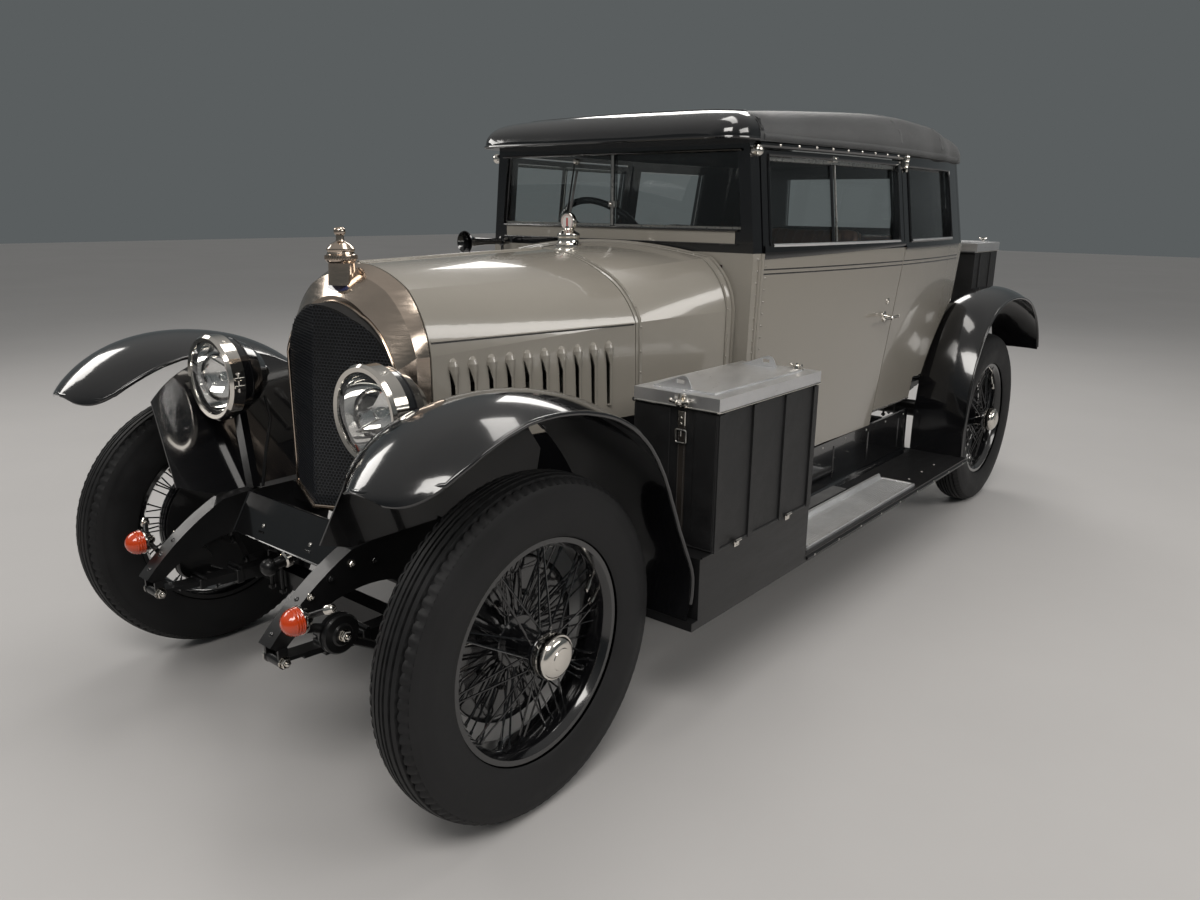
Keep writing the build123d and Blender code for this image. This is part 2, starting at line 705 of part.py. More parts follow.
def side_x(level, y):
    """Half width of the body's outline at one level and place, on the arc of its side."""
    (x1, y1), (x2, y2), (x3, y3) = (level[1], body_front_y), (level[2], body_mid_y), (level[3], body_back_y - corner_radius)
    a, b, c, d = x2 - x1, y2 - y1, x3 - x1, y3 - y1
    e, f = a * (x1 + x2) + b * (y1 + y2), c * (x1 + x3) + d * (y1 + y3)
    g = 2 * (a * (y3 - y2) - b * (x3 - x2))
    centre_x, centre_y = (d * e - b * f) / g, (a * f - c * e) / g
    return centre_x + (hypot(x1 - centre_x, y1 - centre_y) ** 2 - (y - centre_y) ** 2) ** 0.5


outer_form = body_form()
inner_form = body_form(body_wall, front_wall)
door_inner_form = body_form(door_wall, front_wall)

# Door openings and windows
door_front_y = aft(1122)
door_back_y = aft(1955)
door_top_z = 1462.0
door_hinge_radius = 6.0
window_sill_z = 1190.0
window_top_z = 1440.0
quarter_front_y = aft(2010)
quarter_back_y = body_back_y - 300
arch_y = rear_axle_y - 20
arch_z = 455.0
arch_radius = 556.0
wheelhouse_x = 545.0
side_reach = 900.0

with BuildPart() as body:
    add(outer_form)
    with BuildPart(mode=Mode.PRIVATE) as cabin_space:
        add(inner_form)
        add(block(-side_reach, side_reach, body_front_y, body_back_y, 0, floor_z + floor_thickness), mode=Mode.SUBTRACT)
        add(block(-side_reach, side_reach, raised_floor_y - floor_thickness, body_back_y, 0,
                  raised_floor_z + floor_thickness), mode=Mode.SUBTRACT)
        for inner_x, outer_x in ((wheelhouse_x - body_wall, side_reach), (-side_reach, body_wall - wheelhouse_x)):
            with BuildSketch(Plane.YZ.offset(inner_x)):
                with Locations((arch_y, arch_z)):
                    Circle(arch_radius + body_wall)
            extrude(amount=outer_x - inner_x, mode=Mode.SUBTRACT)
    add(cabin_space.part, mode=Mode.SUBTRACT)
    with BuildPart(mode=Mode.PRIVATE) as under_space:
        add(inner_form)
        add(block(-side_reach, side_reach, body_front_y, body_back_y, floor_z, 2000), mode=Mode.SUBTRACT)
    add(under_space.part, mode=Mode.SUBTRACT)
    add(block(-480, 480, body_front_y - 1, body_front_y + front_wall + 1, 400, floor_z), mode=Mode.SUBTRACT)
    add(block(-side_reach, side_reach, raised_floor_y, body_back_y + 1, 0, raised_floor_z), mode=Mode.SUBTRACT)
    for inner_x in (wheelhouse_x, -side_reach):
        with BuildSketch(Plane.YZ.offset(inner_x)):
            with Locations((arch_y, arch_z)):
                Circle(arch_radius)
        extrude(amount=side_reach - wheelhouse_x, mode=Mode.SUBTRACT)
    # Foot of the sides behind the doors stands higher than the doors' foot
    add(block(-side_reach, side_reach, door_back_y - 1, body_back_y, 0, 556), mode=Mode.SUBTRACT)
    # Way from the cabin into the scuttle
    add(block(-430, 430, body_front_y - 1, body_front_y + front_wall + 1, floor_z + floor_thickness, 1130),
        mode=Mode.SUBTRACT)
    # Door openings on both sides, and the quarter windows
    add(block(-side_reach, side_reach, door_front_y, door_back_y, 400, floor_z), mode=Mode.SUBTRACT)
    with BuildPart(mode=Mode.PRIVATE) as side_band:
        add(outer_form)
        add(inner_form, mode=Mode.SUBTRACT)
        add(block(-side_reach, side_reach, door_front_y, door_back_y, 400, door_top_z), mode=Mode.INTERSECT)
    add(side_band.part, mode=Mode.SUBTRACT)
    add(block(-side_reach, side_reach, quarter_front_y, quarter_back_y, window_sill_z, window_top_z), mode=Mode.SUBTRACT)
    add(block(-260, 260, body_back_y - 80, body_back_y + 10, 1215, 1425), mode=Mode.SUBTRACT)

# Windscreen opening in the front wall
screen_y = aft(1100)
screen_foot_half = 489.0
screen_top_half = 463.0
screen_foot_z = 1233.0
screen_top_z = 1455.0


def screen_sheet(clearance, y, thickness):
    """Plate of the windscreen's outline, standing across the car."""
    foot, top = screen_foot_half - clearance, screen_top_half - clearance
    low, high = screen_foot_z + clearance, screen_top_z - clearance
    with BuildPart(mode=Mode.PRIVATE) as sheet:
        with BuildSketch(Plane.XZ.offset(-y)):
            with BuildLine():
                Polyline((-foot, low), (foot, low), (top, high), (-top, high), (-foot, low))
            make_face()
        extrude(amount=thickness)
    return sheet.part


frame_foot_z = 1166.0
hinge_stand = 1.5
hinge_foot_x = side_x(body_foot, door_front_y) + hinge_stand
hinge_belt_x = side_x(body_belt, door_front_y) + hinge_stand
below_frame = block(-side_reach, side_reach, body_front_y - 1, body_back_y + 1, 400, frame_foot_z)
above_frame = block(-side_reach, side_reach, body_front_y - 1, body_back_y + 1, frame_foot_z, 1600)
with BuildPart() as lower_body:
    add(body.part)
    add(above_frame, mode=Mode.SUBTRACT)
    # Hinge barrels of the doors, leaning with the body's side
    for side in (-1, 1):
        with BuildSketch(Plane(origin=(side * hinge_foot_x, door_front_y, body_foot[0]), x_dir=(0, 1, 0),
                               z_dir=(side * (hinge_belt_x - hinge_foot_x), 0, body_belt[0] - body_foot[0]))):
            Circle(door_hinge_radius)
        extrude(amount=frame_foot_z - body_foot[0])
        with BuildSketch(Plane.XZ.offset(-door_front_y)):
            with BuildLine():
                Polyline((side * (hinge_foot_x - 24), body_foot[0] + 2), (side * hinge_foot_x, body_foot[0] + 2),
                         (side * hinge_belt_x, body_belt[0]), (side * (hinge_belt_x - 24), body_belt[0]), close=True)
            make_face()
        extrude(amount=16)
save(lower_body.part, "body_shell")

with BuildPart() as upper_frame:
    add(body.part)
    add(below_frame, mode=Mode.SUBTRACT)
    add(screen_sheet(0, body_front_y + front_wall + 5, front_wall + 10), mode=Mode.SUBTRACT)
    add(block(-7, 7, screen_y - 8, screen_y + 12, screen_foot_z, screen_top_z))
save(upper_frame.part, "cabin_frame")

glass_thickness = 5.0
glass_inset = 15.0
with BuildPart() as screen_glass:
    add(screen_sheet(seat_gap, screen_y + glass_thickness, glass_thickness))
    add(block(-7 - seat_gap, 7 + seat_gap, screen_y - 20, screen_y + 20, 1200, 1500), mode=Mode.SUBTRACT)
save(screen_glass.part, "windscreen_glass")

glass_outer_form = body_form(glass_inset, glass_inset)
glass_inner_form = body_form(glass_inset + glass_thickness, glass_inset)


def glass_band(y0, y1, z0, z1):
    """Both panes of side glass between two places and two levels."""
    with BuildPart(mode=Mode.PRIVATE) as band:
        add(glass_outer_form)
        add(glass_inner_form, mode=Mode.SUBTRACT)
        add(block(-side_reach, side_reach, y0 + seat_gap, y1 - seat_gap, z0 + seat_gap, z1 - seat_gap),
            mode=Mode.INTERSECT)
    return band.part


quarter_glass = glass_band(quarter_front_y, quarter_back_y, window_sill_z, window_top_z)
rear_glass = block(-260 + seat_gap, 260 - seat_gap, body_back_y - 20, body_back_y - 15, 1215 + seat_gap, 1425 - seat_gap)
save(Compound(children=[*quarter_glass.solids(), rear_glass.solid()]), "cabin_glass")

# Doors, cut from the same forms as the body
door_window_front = door_front_y + 42
door_window_back = door_back_y - 46
with BuildPart() as doors:
    add(outer_form)
    add(door_inner_form, mode=Mode.SUBTRACT)
    add(block(-side_reach, side_reach, door_front_y + door_hinge_radius + seat_gap, door_back_y - move_gap, 400,
              door_top_z - move_gap), mode=Mode.INTERSECT)
    add(block(-side_reach, side_reach, door_window_front, door_window_back, window_sill_z, window_top_z),
        mode=Mode.SUBTRACT)
door_solids = doors.part.solids().sort_by(Axis.X)
save(Part() + door_solids[-1], "door_left")
save(Part() + door_solids[0], "door_right")
door_glass = glass_band(door_window_front, door_window_back, window_sill_z, window_top_z).solids().sort_by(Axis.X)
save(Part() + door_glass[-1], "door_glass_left")
save(Part() + door_glass[0], "door_glass_right")

# Roof: crowned sections that follow the body's outline in plan
roof_foot_z = body_top[0]
roof_front_y = aft(1115)
roof_rise = 155.0
roof_wall = 22.0
roof_overhang = 10.0
# Crown line: share of the roof's length, share of its rise
roof_stations = [
    (0.0, 0.62),
    (0.11, 0.7),
    (0.23, 0.8),
    (0.385, 0.92),
    (0.51, 0.99),
    (0.618, 1.0),
    (0.7, 0.975),
    (0.8, 0.87),
    (0.88, 0.75),
    (0.93, 0.63),
    (0.965, 0.5),
    (0.99, 0.35),
    (1.0, 0.22),
]
# Half of a section, from its foot up: share of the rise taken off the half width, share of the rise
roof_curve = [
    (0.0, 0.0),
    (0.01, 0.3),
    (0.15, 0.6),
    (0.45, 0.81),
    (0.95, 0.905),
]


def roof_half(y, inset):
    """Half width of the roof's foot at a place along the car."""
    corner_y = body_back_y - corner_radius
    corner = corner_radius - inset
    half = side_x(body_top, min(y, corner_y)) - inset
    if y > corner_y:
        half -= corner - max(corner ** 2 - (y - corner_y) ** 2, 0.0) ** 0.5
    return half


def roof_section(y, half, rise):
    """Face of one crowned section with a flat foot."""
    right = [(half - off * rise, roof_foot_z + up * rise) for off, up in roof_curve]
    right.append((0.45 * half, roof_foot_z + 0.975 * rise))
    left = [(-x, z) for x, z in reversed(right)]
    with BuildSketch(Plane.XZ.offset(-y), mode=Mode.PRIVATE) as outline:
        with BuildLine():
            Spline(*right, (0, roof_foot_z + rise), *left)
            Line(left[-1], right[0])
        make_face()
    return outline.sketch


def roof_form(inset, wall):
    """The roof's form, or the space under it, drawn inside by the wall."""
    front = roof_front_y + wall
    back = body_back_y - inset
    with BuildPart(mode=Mode.PRIVATE) as form:
        for share, rise in roof_stations:
            y = front + (back - front) * share
            add(roof_section(y, roof_half(y, inset), roof_rise * rise - 0.7 * wall))
        loft()
    return form.part


with BuildPart() as roof:
    add(roof_form(-roof_overhang, 0.0))
    add(roof_form(roof_wall - roof_overhang, roof_wall), mode=Mode.SUBTRACT)
save(roof.part, "roof")

# Visor over the windscreen
visor_length = 130.0
# Stations: share of the length from the lip, width taken off each side, share of the roof's rise
visor_stations = [
    (0.0, 80.0, 0.1),
    (0.05, 56.0, 0.2),
    (0.16, 29.0, 0.33),
    (0.35, 10.0, 0.46),
    (0.6, 1.5, 0.56),
    (1.0, 0.0, 0.62),
]
with BuildPart() as visor:
    for share, narrower, rise in visor_stations:
        y = roof_front_y - visor_length * (1 - share)
        add(roof_section(y, roof_half(roof_front_y, -roof_overhang) - narrower, roof_rise * rise))
    loft()
save(visor.part, "visor")

# Wings: thin crowned sheets lofted over stations that follow the wheel
wing_thickness = 5.0
board_top_z = 322.0
wing_outer_x = wheel_x + 130
front_wing_inner_x = 480.0
rear_wing_inner_x = 569.0
# Columns: distance from the axle, height, lean of the outward normal in degrees, inner, crest and outer x,
# drop at the inner edge, drop at the outer edge
front_wing_stations = [
    (430, board_top_z + seat_gap, 0, front_wing_inner_x, 630, wing_outer_x, 2, 2),
    (425, 500, 4, front_wing_inner_x, 630, wing_outer_x, 6, 4),
    (282, 805, 45, front_wing_inner_x, 630, wing_outer_x, 34, 22),
    (62, 931, 75, front_wing_inner_x, 630, wing_outer_x, 46, 28),
    (-146, 940, 100, front_wing_inner_x, 630, wing_outer_x, 50, 32),
    (-290, 891, 118, front_wing_inner_x + 6, 630, wing_outer_x - 6, 54, 38),
    (-365, 838, 127, front_wing_inner_x + 40, 630, wing_outer_x - 40, 48, 34),
    (-392, 812, 131, front_wing_inner_x + 95, 630, wing_outer_x - 95, 16, 14),
]
rear_wing_stations = [
    (452, 660, 15, rear_wing_inner_x, 690, wing_outer_x, 8, 8),
    (392, 812, 32, rear_wing_inner_x, 690, wing_outer_x, 22, 26),
    (200, 938, 68, rear_wing_inner_x, 690, wing_outer_x, 30, 36),
    (-60, 975, 93, rear_wing_inner_x, 690, wing_outer_x, 32, 44),
    (-330, 905, 122, rear_wing_inner_x, 690, wing_outer_x, 28, 40),
    (-490, 700, 157, rear_wing_inner_x, 690, wing_outer_x, 14, 20),
    (-534, 500, 176, rear_wing_inner_x, 690, wing_outer_x, 4, 4),
    (-538, board_top_z + seat_gap, 180, rear_wing_inner_x, 690, wing_outer_x, 2, 2),
]


def wing(stations, axle_y):
    """Sheet lofted through thin crowned sections."""
    with BuildPart(mode=Mode.PRIVATE) as sheet:
        for distance, height, lean, inner_x, crest_x, outer_x, inner_drop, outer_drop in stations:
            forward = (0, -sin(radians(lean)), cos(radians(lean)))
            with BuildSketch(Plane(origin=(0, axle_y + distance, height), x_dir=(1, 0, 0), z_dir=forward)):
                with BuildLine():
                    ThreePointArc((inner_x, -inner_drop), (crest_x, 0), (outer_x, -outer_drop))
                    Line((outer_x, -outer_drop), (outer_x, -outer_drop - wing_thickness))
                    ThreePointArc((outer_x, -outer_drop - wing_thickness), (crest_x, -wing_thickness),
                                  (inner_x, -inner_drop - wing_thickness))
                    Line((inner_x, -inner_drop - wing_thickness), (inner_x, -inner_drop))
                make_face()
        loft()
    return sheet.part


front_wing = wing(front_wing_stations, front_axle_y)
rear_wing = wing(rear_wing_stations, rear_axle_y)
save(both_sides(front_wing), "front_wings")
save(both_sides(rear_wing), "rear_wings")

# Valances between the front wings and the rails, and aprons under the bonnet
valance_thickness = 4.0
with BuildPart() as bonnet_line:
    add(section("radiator_back", radiator_back_y, rail_top, -seat_gap))
    add(section("bonnet_back", scuttle_front_y, rail_top, -seat_gap))
    loft(ruled=True)
with BuildPart() as valance:
    with BuildSketch(Plane.YZ.offset(rail_outer_x - 60)):
        with BuildLine():
            Polyline((aft(418), rail_top), (aft(418), 560), (aft(395), 600), (aft(352), 700), (aft(270), 770))
            ThreePointArc((aft(270), 770), (aft(-60), 886), (aft(-250), 800))
            Polyline((aft(-250), 800), (aft(-265), 600), (aft(-176), rail_top), (aft(418), rail_top))
        make_face()
    extrude(amount=300)
    with BuildPart(mode=Mode.PRIVATE) as slope:
        with BuildSketch(Plane.XZ.offset(-aft(500))):
            with BuildLine():
                Polyline((rail_outer_x - 5, rail_top), (rail_outer_x - 5 + valance_thickness, rail_top),
                         (front_wing_inner_x + valance_thickness, 900), (front_wing_inner_x, 900),
                         (rail_outer_x - 5, rail_top))
            make_face()
        extrude(amount=900)
    add(slope.part, mode=Mode.INTERSECT)
    add(bonnet_line.part, mode=Mode.SUBTRACT)
valance_solid = valance.part.solids().sort_by(SortBy.VOLUME)[-1]
with BuildPart() as aprons:
    add(section("radiator_back", radiator_back_y, rail_top))
    add(section("bonnet_back", scuttle_front_y, rail_top))
    loft(ruled=True)
    with BuildPart(mode=Mode.PRIVATE) as apron_inside:
        add(section("radiator_back", radiator_back_y - 1, rail_top - 1, bonnet_wall))
        add(section("bonnet_back", scuttle_front_y + 1, rail_top - 1, bonnet_wall))
        loft(ruled=True)
    add(apron_inside.part, mode=Mode.SUBTRACT)
    add(block(-side_reach, side_reach, radiator_back_y - 10, scuttle_front_y + 10, bonnet_foot_z - move_gap, 1400),
        mode=Mode.SUBTRACT)
save(Compound(children=[valance_solid, mirror(valance_solid, about=Plane.YZ), *aprons.part.solids()]), "valances")

# Running boards with the boxes in front and their brackets
board_thickness = 22.0
board_inner_x = 500.0
board_outer_x = 800.0
board_front_y = aft(420)
board_back_y = rear_axle_y - 526
box_inner_x = 556.0
box_front_y = aft(446)
box_back_y = aft(1012)
box_top_z = 480.0
with BuildPart() as board:
    add(block(board_inner_x, board_outer_x, board_front_y, board_back_y, board_top_z - board_thickness, board_top_z))
    add(block(box_inner_x, board_outer_x, box_front_y, box_back_y, board_top_z, box_top_z))
    for distance in (640, 1330, 2200):
        add(block(rail_outer_x, board_inner_x + 14, aft(distance) - 20, aft(distance) + 20, rail_bottom, rail_bottom + 30))
        add(block(board_inner_x, board_inner_x + 14, aft(distance) - 20, aft(distance) + 20,
                  board_top_z - board_thickness, rail_bottom + 30))
save(both_sides(board.part), "running_boards")
tread = block(640, 785, aft(1050), aft(1900), board_top_z, board_top_z + 8)
save(both_sides(tread), "tread_plates")

# Luggage cases with hinged lids
case_wall = 12.0
case_back_y = aft(1008)
case_front_y = aft(500)
case_top_z = 830.0
lid_height = 35.0
lid_hinge_radius = 5.0
lid_lip = 6.0
panel_inset = 32.0
panel_height = 4.0
rib_width = 24.0
rib_depth = 5.0
with BuildPart() as case:
    add(block(box_inner_x, board_outer_x, case_front_y, case_back_y, box_top_z, case_top_z))
    add(block(box_inner_x + case_wall, board_outer_x - case_wall, case_front_y + case_wall, case_back_y - case_wall,
              box_top_z + case_wall, case_top_z + 1), mode=Mode.SUBTRACT)
    lid_hinge_x = box_inner_x - lid_hinge_radius - seat_gap
    with BuildSketch(Plane.XZ.offset(-case_back_y)):
        with Locations((lid_hinge_x, case_top_z)):
            Circle(lid_hinge_radius)
    extrude(amount=case_back_y - case_front_y)
    for distance in (540, 745, 950):
        add(block(lid_hinge_x - 3, box_inner_x, aft(distance), aft(distance) + 30, case_top_z - 18, case_top_z - 2))
    # Upright ribs of the covering
    for share in (0.0, 0.33, 0.67, 1.0):
        rib_y = case_front_y + (case_back_y - case_front_y - rib_width) * share
        add(block(board_outer_x - case_wall / 2, board_outer_x + rib_depth, rib_y, rib_y + rib_width, box_top_z,
                  case_top_z - move_gap))
save(both_sides(case.part), "luggage_cases")
with BuildPart() as case_lid:
    add(block(box_inner_x, board_outer_x + lid_lip, case_front_y - lid_lip, case_back_y + lid_lip,
              case_top_z + seat_gap, case_top_z + lid_height))
    add(block(box_inner_x + case_wall, board_outer_x - case_wall, case_front_y + case_wall, case_back_y - case_wall,
              case_top_z - 1, case_top_z + lid_height - 6), mode=Mode.SUBTRACT)
    add(block(box_inner_x + panel_inset, board_outer_x - panel_inset, case_front_y + panel_inset,
              case_back_y - panel_inset, case_top_z + lid_height - 1, case_top_z + lid_height + panel_height))
save(case_lid.part, "case_lid_left")
save(mirror(case_lid.part, about=Plane.YZ), "case_lid_right")

# Trunk behind the body
trunk_half = 560.0
trunk_front_y = rear_axle_y + 60
trunk_back_y = rear_axle_y + 380
trunk_top_z = 1112.0
trunk_wall = 14.0
trunk_foot_z = rear_rail_top
with BuildPart() as trunk:
    add(block(-trunk_half, trunk_half, trunk_front_y, trunk_back_y, trunk_foot_z, trunk_top_z))
    add(block(trunk_wall - trunk_half, trunk_half - trunk_wall, trunk_front_y + trunk_wall, trunk_back_y - trunk_wall,
              trunk_foot_z + trunk_wall, trunk_top_z + 1), mode=Mode.SUBTRACT)
    trunk_hinge_y = trunk_front_y - lid_hinge_radius - seat_gap
    with BuildSketch(Plane.YZ.offset(-trunk_half)):
        with Locations((trunk_hinge_y, trunk_top_z)):
            Circle(lid_hinge_radius)
    extrude(amount=2 * trunk_half)
    for x in (-400, -15, 370):
        add(block(x, x + 30, trunk_hinge_y - 3, trunk_front_y, trunk_top_z - 18, trunk_top_z - 2))
save(trunk.part, "trunk")
with BuildPart() as trunk_lid:
    add(block(-trunk_half - lid_lip, trunk_half + lid_lip, trunk_front_y, trunk_back_y + lid_lip,
              trunk_top_z + seat_gap, trunk_top_z + lid_height + 5))
    add(block(trunk_wall - trunk_half, trunk_half - trunk_wall, trunk_front_y + trunk_wall, trunk_back_y - trunk_wall,
              trunk_top_z - 1, trunk_top_z + lid_height - 3), mode=Mode.SUBTRACT)
    add(block(panel_inset - trunk_half, trunk_half - panel_inset, trunk_front_y + panel_inset,
              trunk_back_y - panel_inset, trunk_top_z + lid_height + 4, trunk_top_z + lid_height + 5 + panel_height))
save(trunk_lid.part, "trunk_lid")

# Seats
seat_clear = 0.3
with BuildPart() as front_seats:
    for side in (-1, 1):
        with BuildSketch(Plane.YZ.offset(side * 250 - 200)):
            with BuildLine():
                Polyline((aft(1480), floor_z + floor_thickness + seat_clear), (aft(1480), 800), (aft(1500), 830),
                         (aft(1890), 800), (aft(1960), 1215), (aft(1985), 1235), (aft(2040), 1220),
                         (aft(1995), floor_z + floor_thickness + seat_clear),
                         (aft(1480), floor_z + floor_thickness + seat_clear))
            make_face()
        extrude(amount=400)
save(Compound(children=list(front_seats.part.solids())), "front_seats")
with BuildPart() as rear_seat:
    with BuildSketch(Plane.YZ.offset(-430)):
        with BuildLine():
            Polyline((aft(2330), raised_floor_z + floor_thickness + seat_clear), (aft(2330), 830), (aft(2350), 855),
                     (aft(2630), 830), (aft(2690), 1185), (aft(2728), 1190), (aft(2728), 1000),
                     (aft(2700), raised_floor_z + floor_thickness + seat_clear),
                     (aft(2330), raised_floor_z + floor_thickness + seat_clear))
        make_face()
    extrude(amount=860)
save(rear_seat.part, "rear_seat")

# Steering column and wheel, on the right as the car was made
column_x = -270.0
column_lean = 35.0
steering_centre = Vector(column_x, aft(1400), 1150)
column_up = Vector(0, cos(radians(column_lean)), sin(radians(column_lean)))
column_radius = 18.0
steering_radius = 198.0
steering_rim_radius = 12.0
with BuildPart() as column:
    column_length = (1400 - 790) / cos(radians(column_lean))
    with BuildSketch(Plane(origin=steering_centre - column_up * (column_length + 14), x_dir=(1, 0, 0), z_dir=column_up)):
        Circle(column_radius)
    extrude(amount=column_length)
    with Locations((column_x, scuttle_front_y + scuttle_wall + seat_gap + 20,
                    steering_centre.Z - (column_length + 10) * column_up.Z)):
        Box(90, 40, 90)
    add(scuttle.part, mode=Mode.SUBTRACT)
save(column.part, "steering_column")
with BuildPart() as steering_wheel:
    with BuildSketch(Plane(origin=steering_centre - column_up * 13.7, x_dir=(1, 0, 0), z_dir=column_up)):
        Circle(34)
    extrude(amount=34)
    for turn in (45, 135):
        with BuildSketch(Plane(origin=steering_centre + column_up * 2, x_dir=(1, 0, 0), z_dir=column_up)):
            Rectangle(2 * steering_radius, 20, rotation=turn)
        extrude(amount=6)
    rim_side = column_up.cross(Vector(1, 0, 0))
    with BuildSketch(Plane(origin=steering_centre + column_up * 5 + Vector(steering_radius, 0, 0), x_dir=(1, 0, 0),
                           z_dir=rim_side)):
        RegularPolygon(steering_rim_radius, 12)
    revolve(axis=Axis(steering_centre + column_up * 5, column_up))
save(steering_wheel.part, "steering_wheel")

# Head lamps: bowl with its strut, rim and lens
lamp_x = 320.0
lamp_z = 860.0
lamp_front_y = aft(-140)
lamp_radius = 110.0
bowl_depth = 150.0
bowl_wall = 5.0
# Outer profile of the lamp's bowl: radius, depth behind its front edge
bowl_profile = [
    (104.0, 4.0),
    (104.0, 30.0),
    (98.0, 62.0),
    (82.0, 96.0),
    (56.0, 126.0),
    (26.0, 144.0),
    (0.0, bowl_depth),
]
with BuildPart() as lamp_bowl:
    with BuildSketch(Plane.XY.offset(lamp_z)):
        with BuildLine():
            outside = [(lamp_x + radius, lamp_front_y + depth) for radius, depth in bowl_profile]
            inside = [(lamp_x + max(radius - bowl_wall, 0), lamp_front_y + min(depth, bowl_depth - bowl_wall))
                      for radius, depth in reversed(bowl_profile)]
            Polyline(*outside, *inside, close=True)
        make_face()
    revolve(axis=Axis((lamp_x, 0, lamp_z), (0, 1, 0)))
    with BuildPart(mode=Mode.PRIVATE) as strut:
        with BuildSketch(Plane(origin=(rail_inner_x + 18, aft(-80), rail_top), x_dir=(1, 0, 0),
                               z_dir=(lamp_x - rail_inner_x - 18, 10, lamp_z - 100 - rail_top))):
            Rectangle(34, 20)
        extrude(amount=225)
        add(block(0, 600, aft(-300), aft(100), 400, rail_top), mode=Mode.SUBTRACT)
        with Locations(Location((lamp_x, lamp_front_y + 60, lamp_z), (90, 0, 0))):
            Cylinder(96, 110, mode=Mode.SUBTRACT)
    add(strut.part)
save(both_sides(lamp_bowl.part), "lamp_bowls")
with BuildPart() as lamp_rim:
    with BuildSketch(Plane.XY.offset(lamp_z)):
        with BuildLine():
            Polyline((lamp_x + 94, lamp_front_y - 4), (lamp_x + 94, lamp_front_y + 4 - seat_gap),
                     (lamp_x + 104 + seat_gap, lamp_front_y + 4 - seat_gap), (lamp_x + 104 + seat_gap, lamp_front_y + 34),
                     (lamp_x + lamp_radius, lamp_front_y + 34), (lamp_x + lamp_radius, lamp_front_y + 2),
                     (lamp_x + lamp_radius - 6, lamp_front_y - 6), (lamp_x + 94, lamp_front_y - 4))
        make_face()
    revolve(axis=Axis((lamp_x, 0, lamp_z), (0, 1, 0)))
save(both_sides(lamp_rim.part), "lamp_rims")
lens_radius = 94.0 - seat_gap
lens_dome = 12.0
lens_thickness = 4.0
lens_mid_r, lens_mid_drop = dome_point(lens_radius, lens_dome)
with BuildPart() as lamp_lens:
    with BuildSketch(Plane.XY.offset(lamp_z)):
        with BuildLine():
            crown_y = lamp_front_y - 14
            ThreePointArc((lamp_x, crown_y), (lamp_x + lens_mid_r, crown_y + lens_mid_drop),
                          (lamp_x + lens_radius, crown_y + lens_dome))
            Line((lamp_x + lens_radius, crown_y + lens_dome), (lamp_x + lens_radius, crown_y + lens_dome + lens_thickness))
            ThreePointArc((lamp_x + lens_radius, crown_y + lens_dome + lens_thickness),
                          (lamp_x + lens_mid_r, crown_y + lens_mid_drop + lens_thickness),
                          (lamp_x, crown_y + lens_thickness))
            Line((lamp_x, crown_y + lens_thickness), (lamp_x, crown_y))
        make_face()
    revolve(axis=Axis((lamp_x, 0, lamp_z), (0, 1, 0)))
save(both_sides(lamp_lens.part), "lamp_lenses")

# Turn lamps on stalks at the dumb irons
turn_x = 345.0
turn_y = aft(-350)
turn_z = 470.0
with BuildPart() as turn_lamp:
    with BuildSketch(Plane.XY.offset(turn_z)):
        with BuildLine():
            Polyline((turn_x, turn_y + 22), (turn_x + 20, turn_y + 22), (turn_x + 20, turn_y + 8), (turn_x + 30, turn_y + 4),
                     (turn_x + 30, turn_y - 8))
            ThreePointArc((turn_x + 30, turn_y - 8), (turn_x + 30 * sin(pi / 4), turn_y - 8 - 30 * sin(pi / 4)),
                          (turn_x, turn_y - 38))
            Line((turn_x, turn_y - 38), (turn_x, turn_y + 22))
        make_face()
    revolve(axis=Axis((turn_x, 0, turn_z), (0, 1, 0)))
    with BuildSketch(Plane.YZ.offset(rail_inner_x + rail_width)):
        with Locations((turn_y + 14, turn_z - 14)):
            Circle(6)
    extrude(amount=turn_x - rail_inner_x - rail_width)
save(both_sides(turn_lamp.part), "turn_lamps")

# Blank number plate, leaning back over the front cross member
plate_half = 215.0
plate_height = 111.0
plate_foot = Vector(0, aft(-175), 483)
plate_up = Vector(0, 55, 97).normalized()
with BuildPart() as plate:
    with BuildSketch(Plane(origin=plate_foot + plate_up * (plate_height / 2), x_dir=(1, 0, 0), z_dir=plate_up.cross(Vector(1, 0, 0)))):
        Rectangle(2 * plate_half, plate_height)
    extrude(amount=3)
    for x in (-110, 90):
        add(block(x, x + 20, aft(-165), aft(-82) - seat_gap, 494, 506))
save(plate.part, "number_plate")
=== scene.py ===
from itertools import product
from math import copysign, cos, exp, pi, radians, sin

import bpy
from mathutils import Matrix, Vector
from mathutils.bvhtree import BVHTree
from mathutils.geometry import tessellate_polygon
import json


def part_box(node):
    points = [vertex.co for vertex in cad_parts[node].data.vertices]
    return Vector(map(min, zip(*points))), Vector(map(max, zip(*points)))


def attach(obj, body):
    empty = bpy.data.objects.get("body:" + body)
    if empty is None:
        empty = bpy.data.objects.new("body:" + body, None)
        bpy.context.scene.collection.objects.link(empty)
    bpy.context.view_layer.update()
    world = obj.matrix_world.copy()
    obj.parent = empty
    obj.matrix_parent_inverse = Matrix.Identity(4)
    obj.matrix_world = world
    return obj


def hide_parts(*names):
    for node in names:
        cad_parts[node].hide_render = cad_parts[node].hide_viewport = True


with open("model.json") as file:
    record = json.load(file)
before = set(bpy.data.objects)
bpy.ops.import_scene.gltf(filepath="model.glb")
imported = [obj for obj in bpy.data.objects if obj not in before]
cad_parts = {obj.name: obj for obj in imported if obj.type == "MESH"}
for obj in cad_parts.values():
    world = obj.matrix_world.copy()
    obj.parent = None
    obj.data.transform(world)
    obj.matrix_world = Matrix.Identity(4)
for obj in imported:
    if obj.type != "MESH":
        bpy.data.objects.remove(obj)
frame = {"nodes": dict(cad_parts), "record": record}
scene = bpy.context.scene
